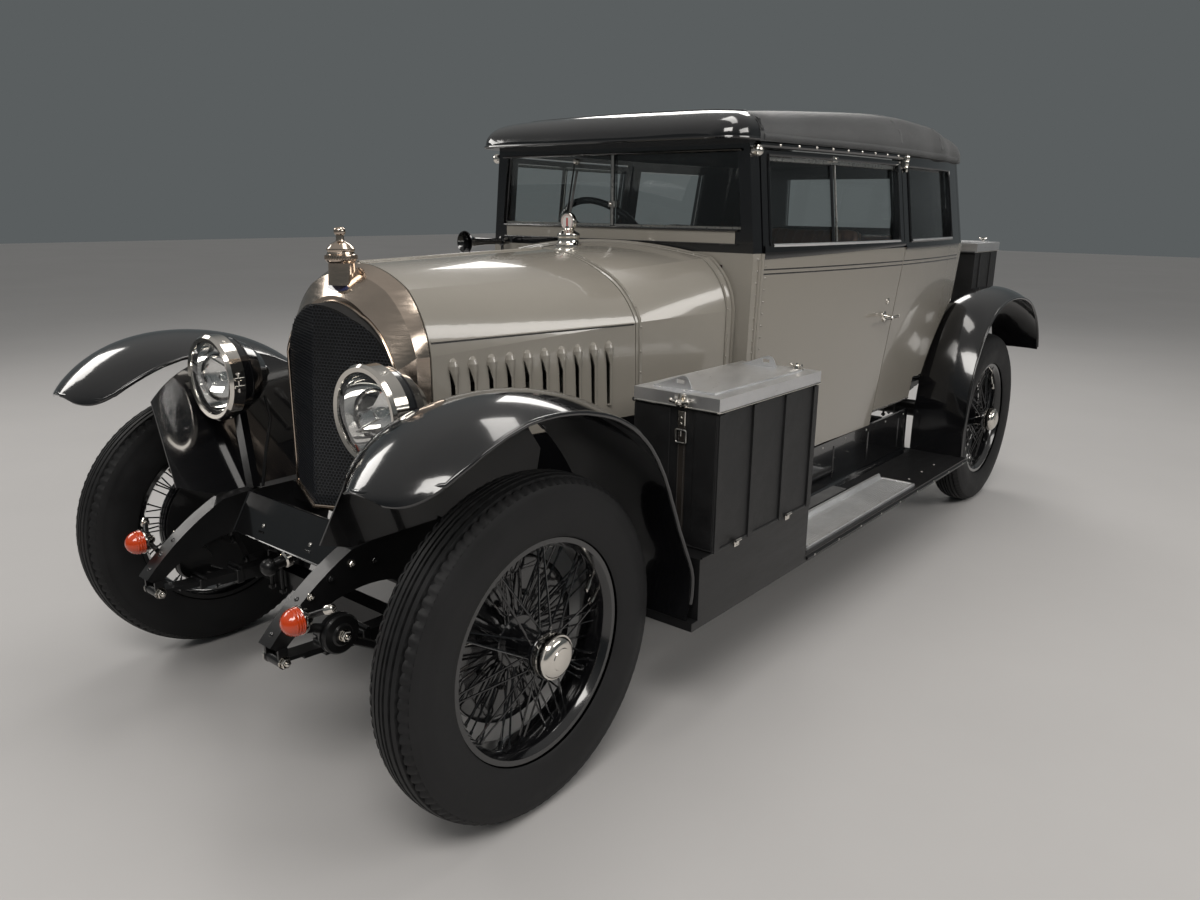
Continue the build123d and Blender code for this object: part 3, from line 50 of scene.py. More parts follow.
link = scene.collection.objects.link
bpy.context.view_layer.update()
nodes = frame["nodes"]
joints = {joint["name"]: joint for joint in frame["record"]["behaviour"]["joints"]}
joint_places = {name: Vector(joint["pos_m"]) for name, joint in joints.items()}
corner_names = ("front_left", "front_right", "rear_left", "rear_right")
move = Matrix.Translation
FRONT, REAR, LEFT, RIGHT, UP, DOWN = (0, -1, 0), (0, 1, 0), (1, 0, 0), (-1, 0, 0), (0, 0, 1), (0, 0, -1)


# Materials


def linear(code):
    """Linear colour from an sRGB hex value."""
    parts = [int(code[index:index + 2], 16) / 255 for index in (1, 3, 5)]
    return tuple(part / 12.92 if part <= 0.04045 else ((part + 0.055) / 1.055) ** 2.4 for part in parts)


def add_node(tree, kind, links=None, **settings):
    """Adds a node, sets its sockets or its properties by name, and links sockets to outputs."""
    node = tree.nodes.new("ShaderNode" + kind)
    for name, value in settings.items():
        label = name.replace("_", " ")
        if label in node.inputs:
            node.inputs[label].default_value = value
        else:
            setattr(node, name, value)
    for name, output in (links or {}).items():
        tree.links.new(output, node.inputs[name.replace("_", " ")])
    return node


class Finish:
    """One material: a shader in a base colour, and the surface effects laid on it."""

    def __init__(self, name, code, roughness, **sockets):
        self.material = bpy.data.materials.new(name)
        self.material.use_nodes = True
        self.tree = self.material.node_tree
        self.shader = self.tree.nodes["Principled BSDF"]
        self.color = linear(code)
        self.roughness = roughness
        self.shader.inputs["Base Color"].default_value = (*self.color, 1)
        self.shader.inputs["Roughness"].default_value = roughness
        for socket, value in sockets.items():
            self.shader.inputs[socket.replace("_", " ")].default_value = value
        self.material.diffuse_color = (*self.color, 1)
        self.place = add_node(self.tree, "TexCoord").outputs["Object"]

    def grain(self, kind, size, stretch, **settings):
        """A texture whose repeat has a size in millimetres, drawn out along the axes by a stretch."""
        place = add_node(self.tree, "Mapping", {"Vector": self.place}, Scale=stretch).outputs["Vector"]
        return add_node(self.tree, "Tex" + kind, {"Vector": place}, Scale=1000 / size, **settings)

    def mottle(self, size, dark, light, near=0.35, far=0.65):
        """Slow change of tone across the surface, between two shares of the base colour."""
        cloud = self.grain("Noise", size, (1, 1, 1), Detail=5.0, Roughness=0.63)
        share = add_node(self.tree, "MapRange", {"Value": cloud.outputs["Fac"]}, From_Min=near, From_Max=far)
        ends = [(*(min(1.0, part * factor) for part in self.color), 1) for factor in (dark, light)]
        tone = add_node(self.tree, "MixRGB", {"Fac": share.outputs["Result"]}, Color1=ends[0], Color2=ends[1])
        self.tree.links.new(tone.outputs["Color"], self.shader.inputs["Base Color"])
        return self

    def polish(self, size, less, more, stretch=(1, 1, 1), detail=7.0):
        """Roughness that changes from place to place: wiping marks, brushing or dust."""
        marks = self.grain("Noise", size, stretch, Detail=detail, Roughness=0.73)
        low, high = max(0.02, self.roughness + less), self.roughness + more
        share = add_node(self.tree, "MapRange", {"Value": marks.outputs["Fac"]}, From_Min=0.3, From_Max=0.7,
            To_Min=low, To_Max=high)
        self.tree.links.new(share.outputs["Result"], self.shader.inputs["Roughness"])
        return self

    def relief(self, kind, size, strength, depth, stretch=(1, 1, 1), output="Fac", **settings):
        """Fine height, in metres of depth, on top of the relief that is there already."""
        height = self.grain(kind, size, stretch, **settings).outputs[output]
        links = {"Height": height}
        if self.shader.inputs["Normal"].is_linked:
            links["Normal"] = self.shader.inputs["Normal"].links[0].from_socket
        raised = add_node(self.tree, "Bump", links, Strength=strength, Distance=depth)
        self.tree.links.new(raised.outputs["Normal"], self.shader.inputs["Normal"])
        return self

    def above(self, height, code):
        """A second colour above a height, as where a body is painted in two tones."""
        split = add_node(self.tree, "SeparateXYZ", {"Vector": self.place})
        share = add_node(self.tree, "MapRange", {"Value": split.outputs["Z"]}, From_Min=height - 0.0002,
            From_Max=height + 0.0002)
        tone = add_node(self.tree, "MixRGB", {"Fac": share.outputs["Result"]}, Color1=(*self.color, 1),
            Color2=(*linear(code), 1))
        self.tree.links.new(tone.outputs["Color"], self.shader.inputs["Base Color"])
        return self


def gloss_paint(name, code, shade, roughness, peel, dust):
    """Sprayed and polished enamel: clear top coat, orange peel of 2.4 mm, faint wiping marks."""
    made = Finish(name, code, roughness, Coat_Weight=0.9, Coat_Roughness=0.04)
    made.mottle(330, 1 - shade, 1 + shade).polish(55, 0.0, dust, stretch=(1, 0.35, 2.2))
    return made.relief("Noise", 2.4, peel, 0.0004, Detail=2.0).material


def brushed_paint(name, code, shade, roughness, coat, peel, dust):
    """Brushed chassis paint: half gloss, uneven, with dust in patches."""
    made = Finish(name, code, roughness, Coat_Weight=coat, Coat_Roughness=0.06, Specular_IOR_Level=0.3)
    made.mottle(330, 1 - shade, 1 + shade).polish(55, 0.0, dust, stretch=(1, 0.35, 2.2))
    return made.relief("Noise", 2.4, peel, 0.0004, Detail=2.0).material


def metal(name, code, roughness, streak=(1, 1, 1), size=17.0, spread=0.08, dent=0.0, tint=0.12):
    """Bare metal: streaks from brushing or polishing, tarnish in soft patches, and slight dents."""
    made = Finish(name, code, roughness, Metallic=1.0)
    made.mottle(140, 1 - tint, 1.0, 0.3, 0.7).polish(size, -spread, spread, stretch=streak)
    made.relief("Noise", size, 0.06, 0.0004, stretch=streak, Detail=8.0)
    if dent:
        made.relief("Noise", 71, dent, 0.003, Detail=2.0)
    return made.material


def leather(name, code, roughness, pebble, crease=0.25):
    """Hide: pebbled grain of a size in millimetres, soft creases, and darker where it is worn."""
    made = Finish(name, code, roughness, Specular_IOR_Level=0.45)
    made.mottle(110, 0.72, 1.35, 0.3, 0.75).polish(110, -0.08, 0.1)
    made.relief("Voronoi", pebble, 0.35, 0.0012, output="Distance")
    return made.relief("Noise", 38, crease, 0.004, Detail=3.0, Distortion=0.6).material


def woven(name, code, thread, roughness):
    """Coated cloth: threads both ways under a satin skin, slack in slow waves, a little soiled."""
    made = Finish(name, code, roughness, Sheen_Weight=0.15)
    made.mottle(200, 0.8, 1.25, 0.3, 0.7)
    made.relief("Wave", thread, 0.3, 0.0005, bands_direction="X", Distortion=0.3)
    made.relief("Wave", thread, 0.3, 0.0005, bands_direction="Y", Distortion=0.3)
    return made.relief("Noise", 165, 0.15, 0.006, Detail=2.0).material


def rubber(name, code, roughness):
    """Moulded rubber: dull and dusty, with a fine skin of 4 mm grain."""
    made = Finish(name, code, roughness, Specular_IOR_Level=0.3)
    made.mottle(83, 0.8, 1.5, 0.3, 0.75).polish(83, -0.12, 0.08)
    return made.relief("Noise", 3.8, 0.12, 0.0006, Detail=4.0).material


def pane(name, code):
    """Plate glass: clear, with the slight waviness of drawn sheets."""
    made = Finish(name, code, 0.01, IOR=1.46, Transmission_Weight=1.0)
    return made.relief("Noise", 250, 0.012, 0.001, Detail=1.0).material


# Body colour: a warm grey with a brown cast, under a clear coat
body_paint = gloss_paint("taupe_enamel", "#918C83", 0.03, 0.22, 0.05, 0.03)
stripe_paint = gloss_paint("stripe_enamel", "#1D1D1F", 0.1, 0.25, 0.05, 0.03)
# Deep black of the wings and the visor, almost a mirror
enamel = gloss_paint("black_enamel", "#0E0E10", 0.2, 0.12, 0.04, 0.05)
paint_line = 1.166
door_paint = Finish("two_tone_enamel", "#918C83", 0.17, Coat_Weight=0.9, Coat_Roughness=0.04)
door_paint = door_paint.above(paint_line, "#0E0E10").relief("Noise", 2.4, 0.045, 0.0004, Detail=2.0).material
satin = brushed_paint("chassis_paint", "#141415", 0.3, 0.30, 0.25, 0.12, 0.12)
box_black = brushed_paint("box_paint", "#181819", 0.25, 0.34, 0.2, 0.15, 0.12)
plate_black = brushed_paint("plate_enamel", "#121213", 0.2, 0.2, 0.8, 0.05, 0.03)
core_black = brushed_paint("core_paint", "#2E3034", 0.3, 0.30, 0.6, 0.1, 0.1)
# Near-black sheet behind the honeycomb: painted shade standing for the dark depth of the open cells
painted_core_shade = Finish("painted_core_shade", "#050505", 0.8).material
plaque_blue = gloss_paint("blue_vitreous_enamel", "#30355D", 0.1, 0.2, 0.02, 0.03)
white_enamel = gloss_paint("white_vitreous_enamel", "#DDDBD7", 0.03, 0.25, 0.02, 0.03)
red_enamel = gloss_paint("red_vitreous_enamel", "#B32721", 0.05, 0.25, 0.02, 0.03)
iron = metal("cast_iron", "#6F6F6F", 0.55, size=33, spread=0.1, dent=0.1)
# Nickel plate warms to copper as it ages; polished caps stay brighter
nickel = metal("aged_nickel", "#CEBEAF", 0.17, streak=(1, 1, 6), size=45, spread=0.07, dent=0.03)
bright = metal("polished_nickel", "#E7E2DA", 0.10, size=20, spread=0.05)
steel = metal("dull_steel", "#BCBAB6", 0.30, size=12.5)
aluminium = metal("brushed_aluminium", "#EFEFF0", 0.38, streak=(12, 1, 12), size=55, spread=0.12, dent=0.05)
worn_aluminium = metal("trodden_aluminium", "#EFEFF0", 0.46, streak=(1, 6, 6), size=33, spread=0.14, tint=0.2)
mirror_metal = metal("silvered_reflector", "#F3F3F1", 0.05, size=50, spread=0.02)
roof_cloth = woven("rubberised_cotton", "#3C3D3E", 3.8, 0.46)
carpet = woven("wool_carpet", "#3F3C38", 5.5, 0.9)
case_leather = leather("black_hide", "#1A1A1B", 0.42, 1.1)
seat_leather = leather("brown_hide", "#5F402D", 0.42, 1.4, 0.4)
strap_leather = leather("harness_leather", "#27221E", 0.5, 1.1, 0.1)
wood = leather("walnut_veneer", "#4D321F", 0.3, 8.3, 0.05)
tyre_rubber = rubber("tyre_rubber", "#1A1A1B", 0.62)
grey_rubber = rubber("grey_rubber", "#595959", 0.7)
clear_glass = pane("plate_glass", "#F7FAF9")
lens_glass = pane("lens_glass", "#FDFDFD")
# Amber glass: strong in colour, with a wet gloss
amber = Finish("amber_glass", "#CE420D", 0.16, Coat_Weight=0.8).material

wheels, tyres = (" ".join(f"{kind}_{corner}" for corner in corner_names) for kind in ("wheel", "tyre"))
node_materials = (
    (satin, "frame_rails cross_members leaf_springs front_axle rear_axle steering_column tie_rod"),
    (satin, "knuckle_left knuckle_right"),
    (body_paint, "bonnet_hinge scuttle body_shell bonnet_left bonnet_right"),
    (door_paint, "door_left door_right"),
    (enamel, "cabin_frame visor front_wings rear_wings valances lamp_bowls steering_wheel"),
    (enamel, wheels),
    (tyre_rubber, tyres),
    (clear_glass, "cabin_glass windscreen_glass door_glass_left door_glass_right"),
    (iron, "engine_block"),
    # The radiator core's slab carries the painted shade behind the honeycomb
    (painted_core_shade, "radiator_core"),
    (nickel, "radiator_shell filler_caps"),
    (roof_cloth, "roof"),
    (box_black, "running_boards"),
    (worn_aluminium, "tread_plates"),
    (case_leather, "luggage_cases trunk"),
    (aluminium, "case_lid_left case_lid_right trunk_lid"),
    (seat_leather, "front_seats rear_seat"),
    (bright, "lamp_rims"),
    (lens_glass, "lamp_lenses"),
    (amber, "turn_lamps"),
    (plate_black, "number_plate"),
)
for material, names in node_materials:
    for node in [nodes[name] for name in names.split()]:
        if not node.material_slots:
            node.data.materials.append(material)
        for slot in node.material_slots:
            slot.material = material


# Shapes


def mm(x, y, z):
    """Vector from millimetres."""
    return Vector((x / 1000, y / 1000, z / 1000))


def points_from(place, *offsets):
    """Points at offsets in millimetres from a place."""
    return [place + mm(*offset) for offset in offsets]


def sheet(rows, columns, ring_rows=False, ring_columns=False, flipped=False):
    """Faces of a grid of points, row by row; a ring joins its last row or column to the first."""
    faces = []
    for row in range(rows if ring_rows else rows - 1):
        for column in range(columns if ring_columns else columns - 1):
            here, there = row * columns, (row + 1) % rows * columns
            beside = (column + 1) % columns
            face = (here + column, here + beside, there + beside, there + column)
            faces.append(face[:1] + face[:0:-1] if flipped else face)
    return faces


def turns(count):
    """Angles of even steps round a circle."""
    return [2 * pi * step / count for step in range(count)]


class Shape:
    """Points and faces of one piece, with a material for each face."""

    def __init__(self):
        self.points = []
        self.faces = []
        self.slots = []
        self.materials = []

    def add(self, points, faces, material):
        if material not in self.materials:
            self.materials.append(material)
        slot = self.materials.index(material)
        start = len(self.points)
        self.points.extend(tuple(point) for point in points)
        self.faces.extend(tuple(start + index for index in face) for face in faces)
        self.slots.extend([slot] * len(faces))

    def lathe(self, profile, origin, axis, segments, material, closed=False, unit=0.001):
        """Revolves a profile of (along, radius) pairs, in millimetres, about an axis through the origin."""
        profile = [(along * unit, radius * unit) for along, radius in profile]
        axis = Vector(axis).normalized()
        side = axis.orthogonal().normalized()
        up = axis.cross(side)
        points = []
        for angle in turns(segments):
            out = side * cos(angle) + up * sin(angle)
            points += [Vector(origin) + axis * along + out * max(radius, 1e-5) for along, radius in profile]
        self.add(points, sheet(segments, len(profile), True, closed), material)

    def tube(self, path, radius, material, sides=8, closed=False, flat=1, up=None):
        """Sweeps a circle, or a flattened one, along a path."""
        path = [Vector(point) for point in path]
        count = len(path)
        points = []
        guide = None
        for index, point in enumerate(path):
            before = path[index - 1] if index or closed else point
            after = path[(index + 1) % count] if index < count - 1 or closed else point
            along = (after - before).normalized()
            if up is not None:
                side = along.cross(Vector(up)).normalized()
            elif guide is None:
                side = along.orthogonal().normalized()
            else:
                side = (guide - along * guide.dot(along)).normalized()
            guide = side
            lift = side.cross(along)
            for angle in turns(sides):
                points.append(point + side * cos(angle) * radius + lift * sin(angle) * radius * flat)
        faces = sheet(count, sides, closed, True)
        if not closed:
            faces.append(tuple(range(sides - 1, -1, -1)))
            faces.append(tuple((count - 1) * sides + step for step in range(sides)))
        self.add(points, faces, material)

    def box(self, low, high, bevel, material, turn=None):
        """Box with chamfered edges, turned and moved by a matrix if one is given."""
        ends = (0, 1)
        points, index, faces = [], {}, []
        for key in product(ends, ends, ends):
            for free in range(3):
                index[(*key, free)] = len(points)
                points.append([(high[a] if key[a] else low[a])
                    + (0 if a == free else bevel * (1 - 2 * key[a])) for a in range(3)])
        for free in range(3):
            a, b = [axis for axis in range(3) if axis != free]

            def corner(side, va, vb, face):
                key = [0, 0, 0]
                key[free], key[a], key[b] = side, va, vb
                return index[(*key, face)]

            for side in ends:
                faces.append([corner(side, va, vb, free) for va, vb in ((0, 0), (1, 0), (1, 1), (0, 1))])
            for va, vb in product(ends, ends):
                faces.append([corner(0, va, vb, a), corner(1, va, vb, a), corner(1, va, vb, b),
                    corner(0, va, vb, b)])
        faces += [[index[(*key, free)] for free in range(3)] for key in product(ends, ends, ends)]
        centre = Vector([(low[a] + high[a]) / 2 for a in range(3)])
        fixed = []
        for face in faces:
            corners = [Vector(points[i]) for i in face]
            middle = sum(corners, Vector()) / len(corners)
            normal = (corners[1] - corners[0]).cross(corners[2] - corners[1])
            fixed.append(face if normal.dot(middle - centre) > 0 else face[::-1])
        if turn is not None:
            points = [turn @ Vector(point) for point in points]
        self.add(points, fixed, material)

    def prism(self, outline, depth, material, turn):
        """Extrudes an outline of (x, y) pairs to a depth, then places it by a matrix."""
        count = len(outline)
        points = [turn @ Vector((x, y, z)) for z in (0, depth) for x, y in outline]
        faces = [tuple(range(count - 1, -1, -1)), tuple(range(count, 2 * count))]
        faces += [(i, (i + 1) % count, count + (i + 1) % count, count + i) for i in range(count)]
        self.add(points, faces, material)

    def dome(self, place, normal, radius, height, material, sides=8):
        """Small domed head, such as a rivet's."""
        profile = [(0, radius), (height * 0.6, radius * 0.8), (height * 0.95, radius * 0.4), (height, 0)]
        self.lathe(profile, place, normal, sides, material, unit=1)

    def mirrored(self):
        """The same shape across the middle of the car."""
        other = Shape()
        other.points = [(-x, y, z) for x, y, z in self.points]
        other.faces = [face[::-1] for face in self.faces]
        other.slots, other.materials = self.slots, self.materials
        return other

    def merge(self, other):
        """Adds another shape, one material at a time."""
        for slot, material in enumerate(other.materials):
            picked = [face for face, used in zip(other.faces, other.slots) if used == slot]
            wanted = sorted({index for face in picked for index in face})
            renumber = {index: count for count, index in enumerate(wanted)}
            self.add([other.points[index] for index in wanted],
                [tuple(renumber[index] for index in face) for face in picked], material)

    def mesh(self, name, sharp=35):
        """Makes the mesh: smooth, but for edges over an angle in degrees."""
        mesh = bpy.data.meshes.new(name)
        mesh.from_pydata(self.points, [], self.faces)
        for material in self.materials:
            mesh.materials.append(material)
        mesh.polygons.foreach_set("material_index", self.slots)
        mesh.polygons.foreach_set("use_smooth", [True] * len(self.faces))
        mesh.update()
        mesh.set_sharp_from_angle(angle=radians(sharp))
        return mesh

    def piece(self, name, body, slot, sharp=35):
        """Makes the object and rides it on a body; the slot is not used."""
        made = bpy.data.objects.new(name, self.mesh(name, sharp))
        link(made)
        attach(made, body)
        return made


def both(shape, name, body, slot, sharp=35):
    """One piece with the shape and its mirror image."""
    whole = Shape()
    for half in (shape, shape.mirrored()):
        whole.merge(half)
    return whole.piece(name, body, slot, sharp)


def pair(shape, name, body, slot):
    """A piece on the left and its mirror image on the right, each on the body of its side."""
    for form, side in ((shape, "left"), (shape.mirrored(), "right")):
        form.piece(name.format(side), body.format(side), slot)


def surface(*names):
    """Search tree over CAD nodes, for laying pieces on their surfaces."""
    points, faces = [], []
    for name in names:
        mesh = nodes[name].data
        start = len(points)
        points.extend(vertex.co.copy() for vertex in mesh.vertices)
        faces.extend(tuple(start + index for index in polygon.vertices) for polygon in mesh.polygons)
    return BVHTree.FromPolygons(points, faces)


def hit(tree, start, direction, limit=5):
    """First point and outward normal met from a start in a direction."""
    place, normal, _, _ = tree.ray_cast(Vector(start), Vector(direction).normalized(), limit)
    if place is None:
        return None, None
    if normal.dot(Vector(direction)) > 0:
        normal = -normal
    return place, normal


def course(tree, starts, direction):
    """Places and normals where a row of starts meets a surface."""
    found = [hit(tree, start, direction) for start in starts]
    return [(place, normal) for place, normal in found if place is not None]


def arch(tree, y, height, reach, steps, margin=0):
    """Places and normals met by a half circle of rays that run inwards to a height at one y."""
    path = []
    for index in range(steps):
        angle = pi * (index + margin) / (steps - 1 + 2 * margin)
        inward = Vector((-cos(angle), 0, -sin(angle)))
        path += course(tree, [Vector((0, y, height)) - inward * reach], inward)
    return path


def lay(tree, starts, direction, lift=0):
    """Points of a path dropped on a surface."""
    return [place + normal * lift for place, normal in course(tree, starts, direction)]


def span(low, high, count):
    """Even steps from a low value to a high one."""
    return [low + (high - low) * index / (count - 1) for index in range(count)]


def cut_corners(corners, share):
    """Closed path with each corner cut off by a share of its sides."""
    corners = [Vector(corner) for corner in corners]
    sides = zip(corners, corners[1:] + corners[:1])
    return [start.lerp(end, part) for start, end in sides for part in (share, 0.5, 1 - share)]


# Camera at the photograph's place

yaw, pitch, roll = 0.6833, 0.2624, 0.0112
forward = Vector((-sin(yaw) * cos(pitch), cos(yaw) * cos(pitch), -sin(pitch)))
level = forward.cross(Vector(UP)).normalized()
upright = level.cross(forward)
right = level * cos(roll) + upright * sin(roll)
upward = upright * cos(roll) - level * sin(roll)
camera = bpy.data.objects.new("camera", bpy.data.cameras.new("camera"))
camera.data.sensor_width = 36
camera.data.sensor_fit = "HORIZONTAL"
camera.data.lens = 907.5 / 1200 * 36
facing = Matrix((right, upward, -forward)).transposed().to_4x4()
camera.matrix_world = move((1.8933, -2.7857, 1.2951)) @ facing
link(camera)
scene.camera = camera
scene.view_settings.view_transform = "Standard"
scene.view_settings.look = "None"

# Floor and light

floor = bpy.data.objects.new("floor", bpy.data.meshes.new("floor"))
floor.data.from_pydata([(-30, -30, 0), (30, -30, 0), (30, 30, 0), (-30, 30, 0)], [], [(0, 1, 2, 3)])
# Sealed concrete: pale, with broad soft clouds
floor_finish = Finish("sealed_concrete", "#C0BEBD", 0.55).mottle(1670, 0.97, 1.03, 0.3, 0.7)
floor.data.materials.append(floor_finish.material)
link(floor)

world = bpy.data.worlds.new("studio")
world.use_nodes = True
# A dim wall at the horizon and a soft bright ceiling overhead
sky = world.node_tree.nodes["Background"]
sky_place = add_node(world.node_tree, "TexCoord").outputs["Generated"]
sky_height = add_node(world.node_tree, "SeparateXYZ", {"Vector": sky_place}).outputs["Z"]
sky_share = add_node(world.node_tree, "MapRange", {"Value": sky_height}, From_Min=0.28, From_Max=0.85)
sky_tone = add_node(world.node_tree, "MixRGB", {"Fac": sky_share.outputs["Result"]},
    Color1=(*linear("#5A5E5F"), 1), Color2=(*linear("#A3A2A0"), 1))
world.node_tree.links.new(sky_tone.outputs["Color"], sky.inputs["Color"])
scene.world = world


def area_light(name, place, target, size, power, color=(1, 0.97, 0.93)):
    """Rectangular lamp with a size in metres and a power in watts, pointed at a target."""
    data = bpy.data.lights.new(name, "AREA")
    data.shape = "RECTANGLE"
    data.size, data.size_y = size
    data.energy = power
    data.color = color
    light = bpy.data.objects.new(name, data)
    light.location = place
    light.rotation_euler = (Vector(target) - Vector(place)).to_track_quat("-Z", "Y").to_euler()
    link(light)


area_light("key_light", (2.8, -4.4, 5.4), (0.2, -0.4, 0.7), (3.4, 2), 190)
area_light("side_light", (5.6, 1.4, 3.9), (0, 0.3, 0.6), (4.2, 1.5), 105)
area_light("rear_light", (-3, 4.8, 4.6), (0, 0.5, 0.8), (3.4, 1.8), 95)
area_light("far_light", (-5, -2.4, 3.8), (0, -0.4, 0.6), (2.8, 1.6), 75)
area_light("top_light", (0.2, 0.4, 5.8), (0, 0, 0.6), (3.6, 1.4), 70)

# Wheels and tyres

wheel_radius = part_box("tyre_rear_left")[1].z / 2
rim_radius = (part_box("wheel_rear_left")[1].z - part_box("wheel_rear_left")[0].z) / 2
corners = {name: joint_places[f"wheel_{name}_spin"] for name in corner_names}
wheel_turns = dict(zip(corner_names, (0, 40, 25, 70)))
tread_pitches = 96
steps_per_pitch = 3
block_gap_depth = 0.0048
groove_wave = 0.0011


def tyre_shape():
    """Tyre with ribs round the crown and cut blocks on its shoulders."""
    side_wall = [(0.0535, 0.0015), (0.057, 0.006), (0.059, 0.014), (0.0615, 0.022), (0.065, 0.04),
        (0.067, 0.058), (0.0672, 0.068), (0.0655, 0.084), (0.0622, 0.098), (0.0622, 0.101), (0.056, 0.1145)]
    crown = [(0.0555, 0.0175), (0.047, 0.0105), (0.0395, 0.0068), (0.038, 0.0125), (0.0345, 0.0125),
        (0.033, 0.0048), (0.024, 0.0026), (0.0225, 0.009), (0.0195, 0.009), (0.018, 0.0014), (0.0085, 0.0004),
        (0.007, 0.0075), (0.004, 0.0075), (0.0025, 0)]
    half = [(x, rim_radius + rise, "side") for x, rise in side_wall]
    for x, depth in crown:
        kind = "shoulder" if x > 0.039 else "groove" if depth > 0.007 else "rib"
        half.append((x, wheel_radius - depth, kind))
    profile = half + [(-x, r, kind) for x, r, kind in reversed(half)]
    points = []
    for step, angle in enumerate(turns(tread_pitches * steps_per_pitch)):
        for x, r, kind in profile:
            if kind == "shoulder" and step % steps_per_pitch == 0:
                r -= block_gap_depth
            elif kind == "groove":
                x += groove_wave if step // 2 % 2 else -groove_wave
            points.append((x, r * sin(angle), r * cos(angle)))
    shape = Shape()
    shape.add(points, sheet(tread_pitches * steps_per_pitch, len(profile), True, flipped=True), tyre_rubber)
    return shape


def spoke(shape, hub_x, hub_r, rim_x, lean, turn, radius):
    """One wire spoke with its nipple at the rim."""
    well = rim_radius - 0.02
    start = Vector((hub_x, 0, hub_r))
    end = Vector((rim_x, well * sin(lean), well * cos(lean)))
    spin = Matrix.Rotation(turn, 3, "X")
    start, end = spin @ start, spin @ end
    shape.tube([start, start.lerp(end, 0.9)], radius, enamel, sides=6)
    shape.tube([start.lerp(end, 0.9), end], radius * 1.6, enamel, sides=6)


def wheel_shape():
    """Wire wheel: rim, three rows of spokes, hub, nickel cap and brake drum."""
    shape = Shape()
    shape.lathe([(-49, 236.5), (-49.5, 248), (-46.5, 249), (-43, 247), (-43, 239), (-33, 231), (-28, 229),
        (28, 229), (33, 231), (43, 239), (43, 247), (46.5, 249), (49.5, 248), (49, 236.5), (45.5, 234),
        (36, 227), (30, 224), (-30, 224), (-36, 227), (-45.5, 234)], (0, 0, 0), LEFT, 96, enamel, closed=True)
    rows = [(20, 0.053, 0.041, 0.012, 0.44, 0, 0.0023), (20, -0.027, 0.055, -0.01, 0.34, 0.05, 0.0023),
        (20, -0.027, 0.052, 0.01, 0.1, 0.12, 0.0023)]
    for count, hub_x, hub_r, rim_x, lean, offset, radius in rows:
        for index in range(count):
            side = 1 if index % 2 else -1
            spoke(shape, hub_x, hub_r, rim_x, side * lean, 2 * pi * (index + offset * 20) / count, radius)
    shape.lathe([(-58, 22), (-58, 58), (-44, 60), (-34, 60), (-24, 60), (-22, 58), (-21, 40), (-10, 36),
        (40, 34), (47, 37), (48, 45), (50, 47), (58, 47), (61, 45), (62, 40)], (0, 0, 0), LEFT, 48, enamel)
    shape.lathe([(60, 30), (61, 46), (64, 48.5), (70, 50), (88, 50), (91.5, 48.5), (92.5, 45), (96.5, 43),
        (100.5, 38), (103.5, 30), (104, 25), (106, 23.8), (107.5, 15), (108, 0)], (0, 0, 0), LEFT, 48, bright)
    shape.lathe([(-72, 181), (-72, 188), (-66, 188), (-66, 185), (-58, 185), (-58, 188), (-52, 188),
        (-52, 185), (-46, 185), (-45, 188), (-38, 187), (-36, 183), (-36, 160), (-39, 150), (-39, 80),
        (-36, 66), (-36, 58)], (0, 0, 0), LEFT, 64, enamel)
    for angle in turns(8):
        angle += pi / 8
        shape.lathe([(0, 7.5), (6, 7.5), (6, 4), (10, 4), (10, 0)],
            (-0.039, 0.105 * sin(angle), 0.105 * cos(angle)), LEFT, 6, satin)
    # Two short stems out of the rim, as of a valve
    for turn in (radians(62), radians(74)):
        out = Vector((0, sin(turn), cos(turn)))
        place = out * (rim_radius - 0.022) + mm(20, 0, 0)
        inward = (Vector((0.35, 0, 0)) - out).normalized()
        shape.tube([place, place + inward * 0.03], 0.0042, bright, sides=10)
        shape.tube([place + inward * 0.03, place + inward * 0.052], 0.0058, bright, sides=10)
    return shape


tyre_mesh = tyre_shape().mesh("tyre_detail", 50)
wheel_mesh = wheel_shape().mesh("wheel_detail")
for corner, centre in corners.items():
    turn = Matrix.Rotation(pi if centre.x < 0 else 0, 4, "Z")
    spin = Matrix.Rotation(radians(wheel_turns[corner]), 4, "X")
    for mesh, kind, slot in ((tyre_mesh, "tyre", "tyre"), (wheel_mesh, "wheel", "wheel_black")):
        # Turned in the mesh itself, so that the object's box is the wheel's own
        turned = mesh.copy()
        turned.transform(turn @ spin)
        piece = bpy.data.objects.new(f"{kind}_detail_{corner}", turned)
        piece.matrix_world = move(centre)
        link(piece)
        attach(piece, f"wheel_{corner}")
        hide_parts(f"{kind}_{corner}")

front_axle_y = corners["front_left"].y
rear_axle_y = corners["rear_left"].y


def aft(distance):
    """Place along the car from a distance in millimetres behind the front axle."""
    return front_axle_y + distance / 1000


# Radiator: honeycomb faces, lips and a blank plaque

core_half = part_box("radiator_core")[1].x
core_foot, core_shoulder, core_slope = 0.575, 0.922, 0.43
core_corners = [(0, 1.064), (0.103, 1.036), (0.168, 0.997), (0.2161, core_shoulder)]


def core_height(x):
    """Top of the core's outline at a place across it."""
    x = abs(x)
    for (x0, z0), (x1, z1) in zip(core_corners, core_corners[1:]):
        if x <= x1:
            share = (x - x0) / (x1 - x0)
            bulge = 0.006 * 4 * share * (1 - share)
            return z0 + (z1 - z0) * share + bulge
    return core_shoulder


core_tree = surface("radiator_core")
honeycomb = Shape()
cell, wall = 0.0088, 0.0009
